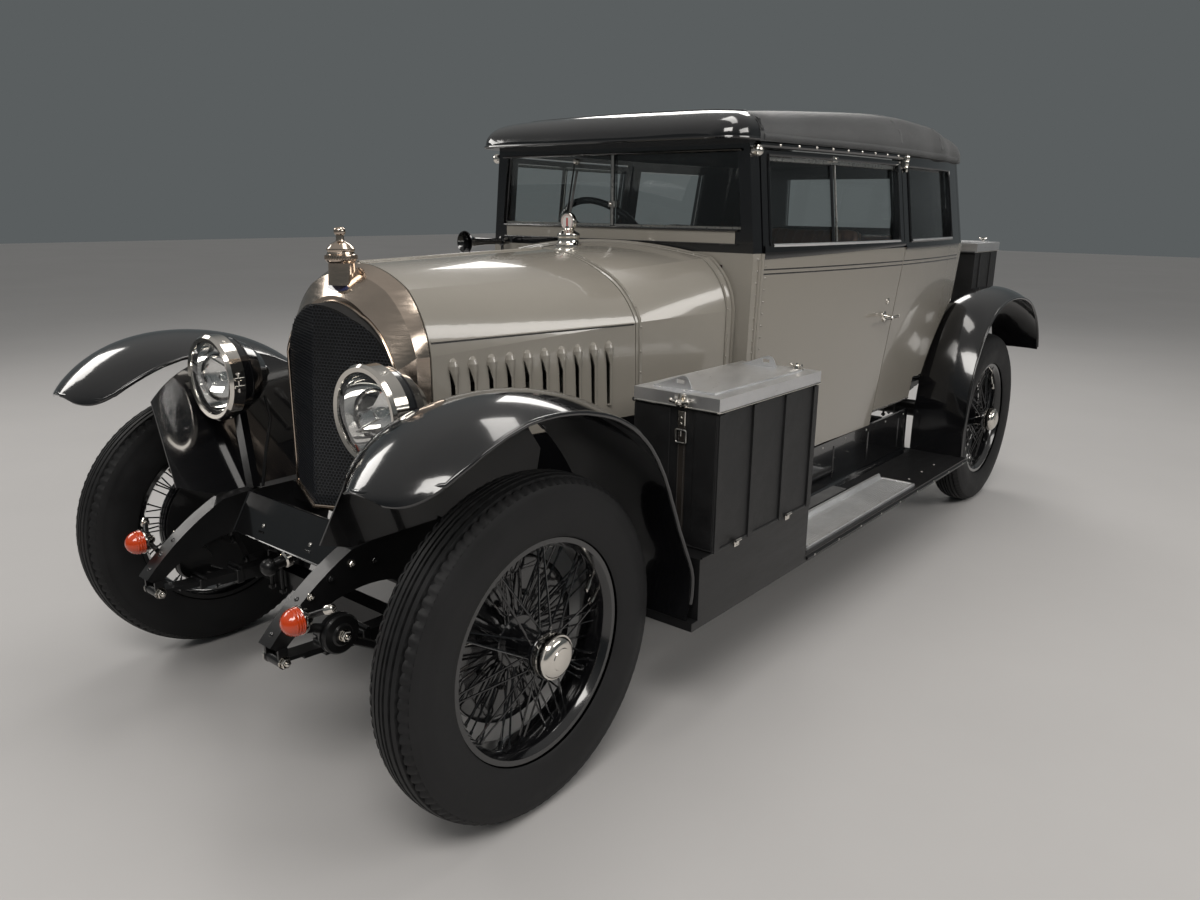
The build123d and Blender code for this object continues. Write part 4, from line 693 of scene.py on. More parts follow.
# Shares of a regular hexagon's width across its flats
row_pitch, hexagon_radius = cell * 0.866, cell * 0.5774
core_margin = cell * 0.55
for row in range(int(0.5 / row_pitch) + 1):
    z = 0.572 + (row + 0.6) * row_pitch
    count = int(core_half / cell)
    for column in range(-count, count + 1):
        x = (column + (0.5 if row % 2 else 0)) * cell
        if abs(x) > core_half - core_margin or z > core_height(x) - core_margin:
            continue
        place, _ = hit(core_tree, (x, -3, z), REAR)
        if place is None:
            continue
        lean = copysign(core_slope, x) if abs(x) > cell * 0.4 else 0
        outer, inner = [], []
        for step in range(6):
            angle = pi / 6 + step * pi / 3
            for ring, radius in ((outer, hexagon_radius), (inner, hexagon_radius - wall)):
                dx, dz = radius * cos(angle), radius * sin(angle)
                ring.append((x + dx, place.y - 0.0026 + lean * dx, z + dz))
        back = [(px, py + 0.0028, pz) for px, py, pz in inner]
        honeycomb.add(outer + inner + back, sheet(3, 6, False, True), core_black)
honeycomb.piece("core_honeycomb", "chassis", "core_black", 20)

shell_tree = surface("radiator_shell")
outline = [(-core_half, z) for z in span(core_foot, core_shoulder, 8)]
outline += [(x, core_height(x)) for x in span(-core_half, core_half, 61)[1:-1]]
outline += [(core_half, z) for z in span(core_shoulder, core_foot, 8)]
lip_path = []
for x, z in outline:
    centre = mm(0, 0, 850)
    away = (Vector((x, 0, z)) - centre).normalized() * 0.004
    place, _ = hit(shell_tree, (x + away.x, -3, z + away.z), REAR)
    if place is not None:
        lip_path.append(Vector((x + away.x * 0.6, place.y - 0.0005, z + away.z * 0.6)))
radiator = Shape()
radiator.tube(lip_path, 0.0034, nickel, sides=10)
for side in (-1, 1):
    radiator.tube([(side * 0.214, aft(26), 0.573), (0, aft(-70), 0.571)], 0.0042, nickel, sides=10)
plaque = [(0.046 * cos(angle), 0.0125 * sin(angle)) for angle in turns(40)]
plaque_place, plaque_normal = hit(shell_tree, (0, -3, 1.098), REAR)
flat = plaque_normal.to_track_quat("Z", "Y").to_matrix().to_4x4()
turn = move(plaque_place - plaque_normal * 0.003) @ flat
radiator.prism(plaque, 0.0048, bright, turn)
inner_plaque = [(x * 0.92, y * 0.8) for x, y in plaque]
radiator.prism(inner_plaque, 0.0056, plaque_blue, turn)
radiator.piece("radiator_trim", "chassis", "nickel")

# Filler caps, turned, with a white dial over the scuttle

caps = Shape()
cap_z = hit(shell_tree, (0, aft(50), 3), DOWN)[0].z
caps.lathe([(-12, 0), (-12, 34), (30, 31.5), (40, 31.5), (43, 34.5), (47, 37.5), (53, 38), (59, 36.5),
    (61, 33), (66, 31.5), (71, 33.5), (74, 33), (77, 30), (83, 25), (88, 17), (91, 11), (96, 9.5), (105, 9.5),
    (107, 12.5), (112, 14), (118, 13.5), (122, 10.5), (124, 5), (124.5, 0)], (0, aft(50), cap_z), UP, 48,
    nickel)
for angle in turns(36):
    foot = Vector((0.0375 * cos(angle), aft(50) + 0.0375 * sin(angle), cap_z + 0.0485))
    caps.tube([foot, foot + mm(0, 0, 9)], 0.0016, nickel, sides=5)
gauge_z = hit(surface("scuttle"), (0, aft(880), 3), DOWN)[0].z
caps.lathe([(-4, 0), (-4, 40), (3, 40), (6, 36), (10, 33), (22, 32.5), (25, 35), (31, 36), (36, 34), (39, 28),
    (44, 20), (48, 12.5), (54, 10), (58, 10)], (0, aft(880), gauge_z), UP, 40, bright)
dial = Vector((0, aft(880), 1.248))
caps.lathe([(-8.5, 0), (-8.5, 24), (-6, 27.5), (6, 27.5), (8.5, 26.2), (8.5, 23.8), (7, 23.4)], dial, FRONT,
    40, bright)
caps.lathe([(7, 23.4), (7.2, 0)], dial, FRONT, 40, white_enamel)
caps.box((-0.0028, -0.0084, -0.016), (0.0028, -0.0068, 0.012), 0.0006, red_enamel, move(dial))
caps.lathe([(7, 20.6), (7.6, 20), (7, 19.4)], dial, FRONT, 40, red_enamel)
caps_piece = caps.piece("turned_caps", "chassis", "nickel")
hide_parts("filler_caps")

# Bonnet: fold seams, hinge knuckles, and the riveted bands on the scuttle


def band_path(tree, y, low_z, steps, lift):
    """Path across the scuttle at one place along the car, from the left foot to the right foot."""
    path = arch(tree, y, 0.93, 1.2, steps)
    path = [(place + normal * lift, normal) for place, normal in path if place.z > low_z]
    for side in (1, -1):
        found = [item for item in path if item[0].x * side > 0]
        foot = min(found, key=lambda item: item[0].z)
        count = max(1, int((foot[0].z - low_z) / 0.03))
        extra = []
        for index in range(1, count + 1):
            z = foot[0].z + (low_z - foot[0].z) * index / count
            place, normal = hit(tree, (side * 2, y, z), (-side, 0, 0))
            if place is not None:
                extra.append((place + normal * lift, normal))
        path = extra[::-1] + path if side == 1 else path + extra
    return path


def rivets(shape, path, pitch, lift, radius, height, material, sides=8):
    """Domed heads at a pitch along places and normals."""
    travelled, last = 0, path[0][0]
    for place, normal in path:
        travelled += (place - last).length
        last = place
        if travelled >= pitch:
            travelled = 0
            shape.dome(place + normal * lift, normal, radius, height, material, sides)


bands = Shape()
band_sizes = [(0.014, 0.013, 0.0016, 0.052), (0.3, 0.011, 0.0022, 0.058), (0.318, 0.006, 0.005, 0)]
for offset, width, thick, rivet_pitch in band_sizes:
    path = band_path(surface("scuttle"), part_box("scuttle")[0].y + offset, 0.6, 61, 0.0002)
    points = []
    for place, normal in path:
        for dy, dn in ((-width / 2, 0), (-width / 2 + 0.0015, thick), (width / 2 - 0.0015, thick),
                (width / 2, 0)):
            points.append(place + Vector((0, dy, 0)) + normal * dn)
    bands.add(points, sheet(len(path), 4, flipped=True), body_paint)
    if rivet_pitch:
        rivets(bands, path, rivet_pitch, thick, 0.0036, 0.0024, body_paint)
bands.piece("scuttle_bands", "chassis", "body_paint")

for side, name in ((1, "bonnet_left"), (-1, "bonnet_right")):
    tree = surface(name)
    low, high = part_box(name)
    seam = Shape()
    starts = [(side * 2, y, 0.98 - 0.004 * (y - low.y)) for y in span(low.y + 0.004, high.y - 0.004, 30)]
    path = lay(tree, starts, (-side, 0, 0), 0.0001)
    seam.tube(path, 0.0017, stripe_paint, sides=6)
    upper = [point + mm(0, 0, 3.6) for point in path]
    seam.tube(upper, 0.0021, body_paint, sides=6)
    for y in (0.22, 0.78):
        place, normal = hit(tree, (side * 2, low.y + (high.y - low.y) * y, 0.738), (-side, 0, 0))
        if place is not None:
            seam.lathe([(0, 11), (3, 11), (5, 8), (11, 7), (13, 4), (13.5, 0)], place, normal, 16, bright)
    seam.piece(f"{name}_seam", name, "body_paint")
rod_low, rod_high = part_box("bonnet_hinge")
knuckles = Shape()
rod_start = Vector((0, rod_low.y, rod_low.z + 0.005))
rod_end = Vector((0, rod_high.y, rod_high.z - 0.005))
for index in range(16):
    knuckle = [rod_start.lerp(rod_end, (index + share) / 16) for share in (0.06, 0.94)]
    knuckles.tube(knuckle, 0.0056, body_paint, sides=12)
knuckles.piece("bonnet_hinge_knuckles", "chassis", "body_paint")

# Body: mouldings, stripes, window beads, drip rails and door fittings


def ribbon(shape, path, profile, material, across=UP, taper=None):
    """Sweeps an open profile of (across, out) pairs, in millimetres, along places and normals."""
    across = Vector(across)
    points = []
    for index, (place, normal) in enumerate(path):
        size = taper(index / (len(path) - 1)) if taper else 1
        points += [place + across * (a / 1000) * size + normal * (out / 1000) for a, out in profile]
    shape.add(points, sheet(len(path), len(profile)), material)


def side_line(tree, z, front, back, count):
    """Level line along the left side of a surface."""
    return course(tree, [(2, y, z) for y in span(front, back, count)], RIGHT)


def front_line(tree, z, half, count):
    """Level line across the front of a surface."""
    return course(tree, [(x, -3, z) for x in span(-half, half, count)], REAR)


half_circle = [(-0.5, 0), (-0.42, 0.27), (-0.2, 0.46), (0, 0.5), (0.2, 0.46), (0.42, 0.27), (0.5, 0)]
body_tree = surface("body_shell")
frame_tree = surface("cabin_frame")
door_tree = surface("door_left")
door_low, door_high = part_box("door_left")
body_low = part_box("body_shell")[0]
door_edge_front, door_edge_back = door_low.y + 0.002, door_high.y - 0.002
window_sill, window_top, bead_radius = 1.19, 1.44, 0.0045
window_front, window_back = aft(1122) + 0.042, aft(1955) - 0.046
quarter_front, quarter_back = aft(2010), aft(2480)


def half_round(width, height):
    """Profile of a half-round moulding."""
    return [(a * width, out * height * 2) for a, out in half_circle]


stripe_profile = [(-2, 0.2), (0, 0.6), (2, 0.2)]


def stripes(shape, tree, front, back, count):
    """Two painted lines along the side, under the belt."""
    for z in (1.119, 1.106):
        ribbon(shape, side_line(tree, z, front, back, count), stripe_profile, stripe_paint)


def rivet_row(shape, tree, y, top, count):
    """Upright row of painted rivets, from the sill up."""
    for place, normal in course(tree, [(2, y, z) for z in span(0.53, top, count)], RIGHT):
        shape.dome(place, normal, 0.0035, 0.0022, body_paint)


def frame_beads(shape, tree, front, back):
    """Round bead along the four edges of a side window, just outside its opening."""
    margin = bead_radius * 0.9
    front, back, low, high = front - margin, back + margin, window_sill - margin, window_top + margin
    corners_yz = [(front, low), (back, low), (back, high), (front, high)]
    path = []
    for (ya, za), (yb, zb) in zip(corners_yz, corners_yz[1:] + corners_yz[:1]):
        path += [(2, ya + (yb - ya) * share, za + (zb - za) * share) for share in span(0, 1, 14)[:-1]]
    shape.tube(lay(tree, path, RIGHT, bead_radius * 0.25), bead_radius, enamel, closed=True)


door = Shape()
belt = side_line(door_tree, 1.17, door_edge_front, door_edge_back, 30)
ribbon(door, [(place + mm(0, 0, 17), normal) for place, normal in belt], [(1, 0), (0, 4), (-12, 6), (-30, 6),
    (-38, 4), (-40, 0)], enamel, taper=lambda share: 1 - 0.62 * share)
stripes(door, door_tree, door_edge_front, door_edge_back, 30)
frame_beads(door, door_tree, window_front, window_back)
sill = side_line(door_tree, window_sill - 0.003, window_front + 0.004, window_back - 0.004, 24)
ribbon(door, sill, [(-3, 0), (-3, 6.5), (2, 8), (6, 4), (6, -20)], aluminium)
door_glass_tree = surface("door_glass_left")
slide_y = window_front + (window_back - window_front) * 0.44
for y, width, material in ((slide_y, 18, enamel), (slide_y + 0.018, 6, steel),
        (window_front + 0.006, 12, enamel)):
    rail = course(door_glass_tree, [(2, y, z) for z in span(window_sill + 0.004, window_top - 0.004, 6)],
        RIGHT)
    ribbon(door, rail, half_round(width, 6), material, across=REAR)
slide = side_line(door_glass_tree, window_top - 0.006, window_front + 0.003, window_back - 0.003, 16)
ribbon(door, slide, [(-6, 0), (-6, 9), (4, 9), (4, 0)], steel)
clip_place, clip_normal = hit(door_tree, (2, slide_y, window_top + 0.006), RIGHT)
door.box((-0.012, -0.018, -0.01), (0.004, 0.018, 0.008), 0.002, bright, move(clip_place))
door.dome(clip_place + clip_normal * 0.004, clip_normal, 0.004, 0.003, bright, 10)

handle_y, handle_z = door_edge_back - 0.07, 0.928
handle_place, handle_normal = hit(door_tree, (2, handle_y, handle_z), RIGHT)
door.lathe([(-1, 17), (2, 17), (4, 14), (6, 10), (28, 7.5), (34, 8), (38, 6), (39, 0)], handle_place,
    handle_normal, 24, bright)
grip = handle_place + handle_normal * 0.03
grip_path = points_from(grip, (0, 62, 1), (0, 50, 1), (0, 20, 0), (0, -20, 0), (0, -55, -1), (0, -70, -3))
door.tube(grip_path, 0.0062, bright, sides=12, flat=0.7)
for end in (grip_path[0], grip_path[-1]):
    door.lathe([(-4, 0), (-3, 4), (0, 6.2), (3, 4), (4, 0)], end, REAR, 12, bright)
lock_place, lock_normal = hit(door_tree, (2, handle_y + 0.012, handle_z + 0.052), RIGHT)
door.lathe([(-1, 11), (2, 11), (3, 9), (3, 4), (1, 3), (1, 0)], lock_place, lock_normal, 20, bright)
rivet_row(door, door_tree, door_edge_front + 0.01, 1.13, 18)
pair(door, "door_{}_trim", "door_{}", "black_enamel")

quarter = Shape()
quarter_row = (door_edge_back + 0.01, aft(2590))
belt = side_line(body_tree, 1.162, *quarter_row, 24)
ribbon(quarter, [(place + mm(0, 0, 10), normal) for place, normal in belt],
    [(1, 0), (0, 4), (-7, 6), (-13, 4), (-14, 0)], enamel)
stripes(quarter, body_tree, *quarter_row, 24)
frame_beads(quarter, frame_tree, quarter_front, quarter_back)
sill = side_line(frame_tree, window_sill - 0.003, quarter_front + 0.004, quarter_back - 0.004, 16)
ribbon(quarter, sill, [(-3, 0), (-3, 5), (2, 6.5), (6, 4), (6, -20)], aluminium)
foot_line = side_line(body_tree, 0.561, door_edge_back + 0.01, aft(2360), 16)
ribbon(quarter, foot_line, half_round(7, 3), steel)
drip = side_line(frame_tree, 1.4715, aft(1116), aft(1958), 30)
ribbon(quarter, drip, [(-8, 0), (-8, 8), (-3, 13), (3, 13), (5, 9), (5, 0)], enamel)
rivets(quarter, drip, 0.078, 0.0125, 0.0046, 0.0034, bright, 10)
rivet_row(quarter, body_tree, aft(1104), 1.15, 19)
post_hit, post_normal = hit(frame_tree, (2, aft(1100), 1.452), RIGHT)
quarter.lathe([(-4, 13), (2, 14), (6, 15), (18, 16.5), (24, 15.5), (29, 11), (31, 4), (31.5, 0)], post_hit,
    post_normal, 24, bright)
pillar_hit, pillar_normal = hit(frame_tree, (2, aft(1978), 1.455), RIGHT)
quarter.box((-0.006, -0.012, -0.02), (0.01, 0.012, 0.022), 0.003, bright, move(pillar_hit))
for dz, r in ((0.012, 9.5), (-0.004, 7.5), (-0.024, 6)):
    quarter.lathe([(-10, r * 0.7), (-6, r), (6, r), (10, r * 0.7), (10.5, 0)],
        pillar_hit + pillar_normal * 0.01 + Vector((0, 0, dz)), UP, 16, bright)
both(quarter, "quarter_trim", "chassis", "black_enamel")

# Windscreen: painted panel, beads, wiper, and the visor's lip

screen = Shape()
panel = front_line(frame_tree, 1.212, 0.47, 24)
ribbon(screen, panel, [(-20, 0), (-19, 2), (18, 2), (19, 0)], body_paint)
for z, width, height, material in ((1.1905, 5, 4.5, stripe_paint), (1.23, 7, 7, enamel),
        (1.4565, 8, 7, enamel)):
    line = front_line(frame_tree, z, 0.48, 24)
    ribbon(screen, line, half_round(width, height), material)
screen_glass_tree = surface("windscreen_glass")
lower_bead = front_line(screen_glass_tree, 1.2375, 0.482, 40)
ribbon(screen, lower_bead, [(-3.5, 0), (-3.5, 6), (2.5, 6), (3.5, 0)], steel)
for side in (-1, 1):
    upright_row = [(side * (0.4855 - 0.0255 * share), -3, 1.239 + 0.212 * share) for share in span(0, 1, 8)]
    ribbon(screen, course(screen_glass_tree, upright_row, REAR), half_round(7, 6), enamel, across=LEFT)
strut_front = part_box("windscreen_glass")[0].y
screen.tube([(0, strut_front - 0.004, 1.236), (0, strut_front - 0.004, 1.452)], 0.0068, steel, sides=12)
screen.box((-0.013, -0.01, -0.008), (0.013, 0.006, 0.012), 0.002, steel, move((0, strut_front - 0.003, 1.3)))
screen.dome((0, strut_front - 0.014, 1.302), FRONT, 0.006, 0.006, bright, 12)
wiper_top = Vector((-0.15, strut_front - 0.018, 1.436))
wiper_foot = Vector((-0.19, strut_front - 0.012, 1.262))
screen.tube([wiper_top, wiper_foot], 0.0026, satin)
screen.tube([wiper_top + mm(4, 6, -30), wiper_foot + mm(3, 4, -20)], 0.004, grey_rubber, sides=6, flat=0.45)
screen.lathe([(0, 10), (10, 10), (16, 7), (18, 0)], wiper_top + mm(0, 14, 0), FRONT, 16, bright)
visor_low, visor_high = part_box("visor")
visor_tree = surface("visor")
lip_starts = [(x, -3, visor_low.z + 0.005) for x in span(-0.425, 0.425, 40)]
lip_line = lay(visor_tree, lip_starts, REAR, 0.0008)
side_starts = [(2, y, visor_low.z + 0.006) for y in span(visor_low.y + 0.012, visor_high.y - 0.004, 14)]
left_lip = lay(visor_tree, side_starts, RIGHT, 0.0008)
right_lip = [Vector((-p.x, p.y, p.z)) for p in left_lip]
screen.tube(right_lip[::-1] + lip_line + left_lip, 0.0045, enamel)
screen.piece("screen_trim", "chassis", "black_enamel")

# Roof: seam beside the visor, side hems and the fold over the middle pillar

roof_tree = surface("roof")
roof_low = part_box("roof")[0]
covering = Shape()
seam_profile = [(-7, 0), (-5, 2.6), (5, 2.6), (7, 0)]
fold_profile = [(-10, 0), (-8, 1.6), (0, 2.2), (8, 1.6), (10, 0)]
for y, profile, material in ((roof_low.y + 0.009, seam_profile, enamel),
        (aft(1930), fold_profile, roof_cloth), (aft(2330), fold_profile, roof_cloth)):
    ribbon(covering, arch(roof_tree, y, 1.47, 2, 49, 0.15), profile, material, across=REAR)
hem = side_line(roof_tree, roof_low.z + 0.012, roof_low.y + 0.012, aft(2600), 40)
left_hem = Shape()
ribbon(left_hem, hem, half_round(18, 3.5), roof_cloth)
for half in (left_hem, left_hem.mirrored()):
    covering.merge(half)
covering.piece("roof_trim", "chassis", "roof_fabric")

# Head lamps: clamp, screws, bowl seams, reflectors and bulbs

lamp = Shape()
lamp_place = Vector((0.32, aft(-140), 0.86))
lamp.lathe([(16, 92.5), (22, 91.5), (40, 86), (62, 74), (82, 56), (96, 36), (103, 18), (104, 12)], lamp_place,
    REAR, 64, mirror_metal)
lamp.lathe([(104, 12), (96, 12), (96, 9), (64, 9), (62, 7.5), (62, 0)], lamp_place, REAR, 20, steel)
lamp.lathe([(64, 5), (58, 7.5), (48, 12.5), (38, 13.5), (30, 10.5), (25, 4.5), (24, 0)], lamp_place, REAR, 20,
    clear_glass)
for turn in (radians(35), radians(215)):
    start = Vector((0.09 * cos(turn), 0.03, 0.09 * sin(turn)))
    lamp.tube([lamp_place + start, lamp_place + Vector((0.01 * cos(turn), 0.074, 0.01 * sin(turn)))], 0.0026,
        steel)
lamp.lathe([(10, 90.5), (9, 93.5), (13, 93.5), (15, 90.5)], lamp_place, REAR, 64, satin, closed=True)
lamp.lathe([(31, 103.5), (31, 106.2), (36, 106.2), (38, 103)], lamp_place, REAR, 64, enamel)
lamp.lathe([(60, 97.5), (61, 99.5), (64, 99), (65, 96.5)], lamp_place, REAR, 64, enamel)
inboard = lamp_place + mm(-108, 14, 0)
for dz in (-0.01, 0.01):
    lamp.box((-0.007, -0.012, -0.004), (0.008, 0.016, 0.004), 0.0015, bright,
        move(inboard + Vector((0, 0, dz))))
lamp.tube(points_from(inboard, (-1, 2, -24), (-1, 2, 22)), 0.0032, bright, sides=10)
lamp.lathe([(0, 6), (4, 6), (6, 3), (6, 0)], inboard + mm(-1, 2, 20), UP, 10, bright)
for angle in (radians(62), radians(118), radians(242), radians(298)):
    out = Vector((cos(angle), 0, sin(angle)))
    lamp.dome(lamp_place + out * 0.1098 + mm(0, 18, 0), out, 0.004, 0.0026, bright, 10)
lamp.lathe([(140, 22), (150, 20), (158, 13), (160, 0)], lamp_place, REAR, 20, enamel)
cable = points_from(lamp_place, (-30, 128, -60), (-45, 130, -120), (-62, 100, -200), (-74, 75, -290))
lamp.tube(cable, 0.0042, satin)
both(lamp, "lamp_details", "chassis", "nickel")

# Turn lamps: ribbed domes, bright bases and stalks

turn_lamp = Shape()
turn_place = Vector((0.345, aft(-350), 0.47))
rows, columns = 20, 48
points = []
for row in range(rows + 1):
    share = row / rows
    if share < 0.75:
        lean = pi / 2 * share / 0.75
        along, radius = -0.008 - 0.03 * cos(lean), 0.03 * sin(lean)
    else:
        along, radius = -0.008 + 0.012 * (share - 0.75) / 0.25, 0.03
    radius -= 0.0014 if row % 2 and row > 1 else 0
    for column, angle in enumerate(turns(columns)):
        edge = 1 - 0.03 * (column % 2)
        points.append(turn_place + Vector((radius * edge * cos(angle), along, radius * edge * sin(angle))))
turn_lamp.add(points, sheet(rows + 1, columns, False, True), amber)
turn_lamp.lathe([(0, 30), (0, 31), (4, 31.5), (8, 30), (10, 21.5), (18, 20), (22, 19), (23, 10), (30, 9.5),
    (32, 7), (32.5, 0)], turn_place, REAR, 32, bright)
stalk = [turn_place + mm(0, 16, 0), turn_place + mm(-18, 18, -10), Vector((0.292, aft(-336), 0.456))]
turn_lamp.tube(stalk, 0.006, satin, sides=10)
turn_lamp.tube(points_from(turn_place, (12, 20, 8), (50, 36, 26)), 0.0065, satin, sides=10)
turn_lamp.lathe([(-4, 6), (-2, 10), (6, 11), (10, 9), (16, 9.5), (20, 6), (21, 0)],
    turn_place + mm(50, 36, 26), (0.8, 0.35, 0.4), 20, bright)
turn_piece = both(turn_lamp, "turn_lamp_details", "chassis", "amber", 50)
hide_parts("turn_lamps")

# Front of the chassis: nuts, spring clips and bolts, dampers, starting dog and the blank plate's rim


def hex_nut(shape, place, axis, size, material, domed=True):
    """Six-sided nut with a domed bolt end on a washer."""
    shape.lathe([(0, 1.25), (0.18, 1.25), (0.18, 1)], place, axis, 20, material, unit=size)
    shape.lathe([(0.18, 1), (0.85, 1), (1, 0.86), (1, 0.5)], place, axis, 6, material, unit=size)
    if domed:
        shape.lathe([(1, 0.5), (1.35, 0.46), (1.55, 0.25), (1.6, 0)], place, axis, 12, material, unit=size)


fittings = Shape()
spring_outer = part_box("leaf_springs")[1].x
spring_inner = spring_outer - 0.042
eye_spots = [(aft(-362), 0.364), (aft(470), 0.395), (rear_axle_y - 0.57, 0.438), (rear_axle_y + 0.4, 0.47)]
for index, (y, z) in enumerate(eye_spots):
    for face_x, axis in ((spring_outer + 0.0063, 1), (spring_inner - 0.0063, -1)):
        hex_nut(fittings, Vector((face_x, y, z)), (axis, 0, 0), 0.0115, bright if index == 0 else steel)
rail_tree = surface("frame_rails")
for distance, z in ((-330, 0.44), (-285, 0.486), (-235, 0.512), (-180, 0.53), (-120, 0.52), (120, 0.51),
        (240, 0.51)):
    place, normal = hit(rail_tree, (2, aft(distance), z), RIGHT)
    if place is not None:
        hex_nut(fittings, place, normal, 0.0075, bright if distance in (-285, -180) else satin)
for distance in (-370, -340, -305):
    place, normal = hit(rail_tree, (0.2705, aft(distance), 2), DOWN)
    if place is not None:
        fittings.dome(place, normal, 0.006, 0.0035, enamel, 12)
spring_tree = surface("leaf_springs")
spring_x = (spring_outer + spring_inner) / 2
for centre_y, offsets in ((front_axle_y, (-0.25, -0.15, 0.18, 0.3)),
        (rear_axle_y, (-0.4, -0.24, 0.16, 0.28))):
    for offset in offsets:
        top, _ = hit(spring_tree, (spring_x, centre_y + offset, 2), DOWN)
        bottom, _ = hit(spring_tree, (spring_x, centre_y + offset, 0), UP)
        if top is None or top.z > 0.56:
            top, _ = hit(spring_tree, (spring_x, centre_y + offset, 0.5), DOWN)
        if top is None or bottom is None:
            continue
        y = centre_y + offset
        fittings.box((spring_inner - 0.004, y - 0.01, bottom.z - 0.003),
            (spring_outer + 0.004, y + 0.01, top.z + 0.005), 0.002, satin)
        fittings.tube([(spring_inner - 0.009, y, top.z + 0.01), (spring_outer + 0.009, y, top.z + 0.01)],
            0.0042, satin)
for centre_y, low_z, high_z in ((front_axle_y, 0.262, 0.366), (rear_axle_y, 0.338, 0.474)):
    for dy in (-0.034, 0.034):
        loop = [(spring_inner - 0.006, low_z), (spring_inner - 0.006, high_z),
            (spring_inner + 0.004, high_z + 0.007), (spring_outer - 0.004, high_z + 0.007),
            (spring_outer + 0.006, high_z), (spring_outer + 0.006, low_z)]
        fittings.tube([(x, centre_y + dy, z) for x, z in loop], 0.0055, satin)
        for x in (spring_inner - 0.006, spring_outer + 0.006):
            fittings.lathe([(0, 10), (9, 10), (9, 5), (14, 5), (14, 0)], (x, centre_y + dy, low_z + 0.004),
                DOWN, 6, satin)
damper_place = Vector((spring_outer + 0.02, aft(-238), 0.392))
fittings.lathe([(-10, 0), (-10, 43), (-4, 46), (2, 46), (3, 43), (7, 43), (8, 46), (14, 46), (18, 42),
    (20, 26), (24, 22), (25, 12)], damper_place, LEFT, 40, satin)
hex_nut(fittings, damper_place + mm(25, 0, 0), LEFT, 0.0125, bright)
arm = [damper_place + mm(2, 0, 10), damper_place + mm(0, -55, 30), Vector((0.3, aft(-330), 0.428))]
fittings.tube(arm, 0.0105, satin, flat=0.45, up=LEFT)
arm = [damper_place + mm(8, 0, -10), damper_place + mm(4, 100, -70), Vector((0.318, aft(-22), 0.3))]
fittings.tube(arm, 0.0105, satin, flat=0.45, up=LEFT)
hex_nut(fittings, Vector((0.304, aft(-330), 0.428)), LEFT, 0.0085, satin)
for x in (0.505, 0.44):
    fittings.lathe([(0, 12), (6, 12), (8, 7), (12, 6), (12, 0)],
        (x, aft(0) - 0.0245, 0.345 if x > 0.47 else 0.3), FRONT, 12, satin)
both(fittings, "front_fittings", "chassis", "chassis_black")

middle = Shape()
middle.tube([(0, aft(-80), 0.468), (0, aft(-196), 0.452)], 0.0145, satin, sides=16)
middle.lathe([(0, 16.5), (4, 20.5), (16, 20.5), (20, 16.5)], (0, aft(-150), 0.4585), (0, -1, -0.14), 20,
    bright)
middle.lathe([(0, 10), (4, 17), (12, 21.5), (22, 21.5), (31, 16), (35, 8), (36, 0)], (0, aft(-192), 0.4525),
    (0, -1, -0.14), 24, satin)
plate_up = Vector((0, 0.055, 0.097)).normalized()
plate_out = Vector((0, -plate_up.z, plate_up.y))
plate_foot = Vector((0, aft(-175), 0.483)) + plate_out * 0.0002
rim = [plate_foot + plate_up * v + Vector((u, 0, 0)) for u, v in ((-0.213, 0.002), (0.213, 0.002),
    (0.213, 0.109), (-0.213, 0.109))]
middle.tube(cut_corners(rim, 0.006), 0.0022, enamel, sides=6, closed=True)
for u in (-0.1, 0.1):
    bolt = plate_foot + plate_up * 0.04 + Vector((u, 0, 0)) + plate_out * 0.001
    middle.dome(bolt, plate_out, 0.0055, 0.0028, steel, 12)
for side in (-1, 1):
    middle.lathe([(0, 8), (6, 8), (8, 5), (12, 5), (12, 0)], (side * 0.15, aft(-82), 0.5), FRONT, 6, satin)
middle.piece("front_middle", "chassis", "chassis_black")

# Wings: rolled beads along their edges


def edge_path(tree, centre_y, angles, x_near, x_far, down=0.002):
    """Points along a wing's side edge, found by rays towards the axle while moving in from one side."""
    found = []
    step = 0.002 if x_far > x_near else -0.002
    for angle in angles:
        turn = radians(angle)
        out = Vector((0, -cos(turn), sin(turn)))
        start = Vector((0, centre_y, wheel_z)) + out * 0.8
        x = x_near
        while (x_far - x) * step > 0:
            place, normal = hit(tree, (x, start.y, start.z), -out, 0.42)
            if place is not None:
                found.append(place - normal * down)
                break
            x += step
    return found


wheel_z = joint_places["wheel_front_left_spin"].z
wings = Shape()
wing_tree = surface("front_wings")
outer_edge = edge_path(wing_tree, front_axle_y, [182 - 3 * i for i in range(43)], 0.792, 0.58)
inner_edge = edge_path(wing_tree, front_axle_y, [52 + 3 * i for i in range(24)], 0.47, 0.64)
tip_row = span(outer_edge[-1].x - 0.012, inner_edge[0].x + 0.012, 9)
tip_edge = lay(wing_tree, [(x, aft(-388), 2) for x in tip_row], DOWN, -0.002)
front_bead = outer_edge + tip_edge + inner_edge
wings.tube(front_bead, 0.0055, enamel)
rear_edge = edge_path(surface("rear_wings"), rear_axle_y, [-6 + 3 * i for i in range(62)], 0.792, 0.62)
wings.tube(rear_edge, 0.0055, enamel)
both(wings, "wing_trim", "chassis", "black_enamel", 60)

# Running boards: edge mouldings, ribbed tread, inner mat, foot clips

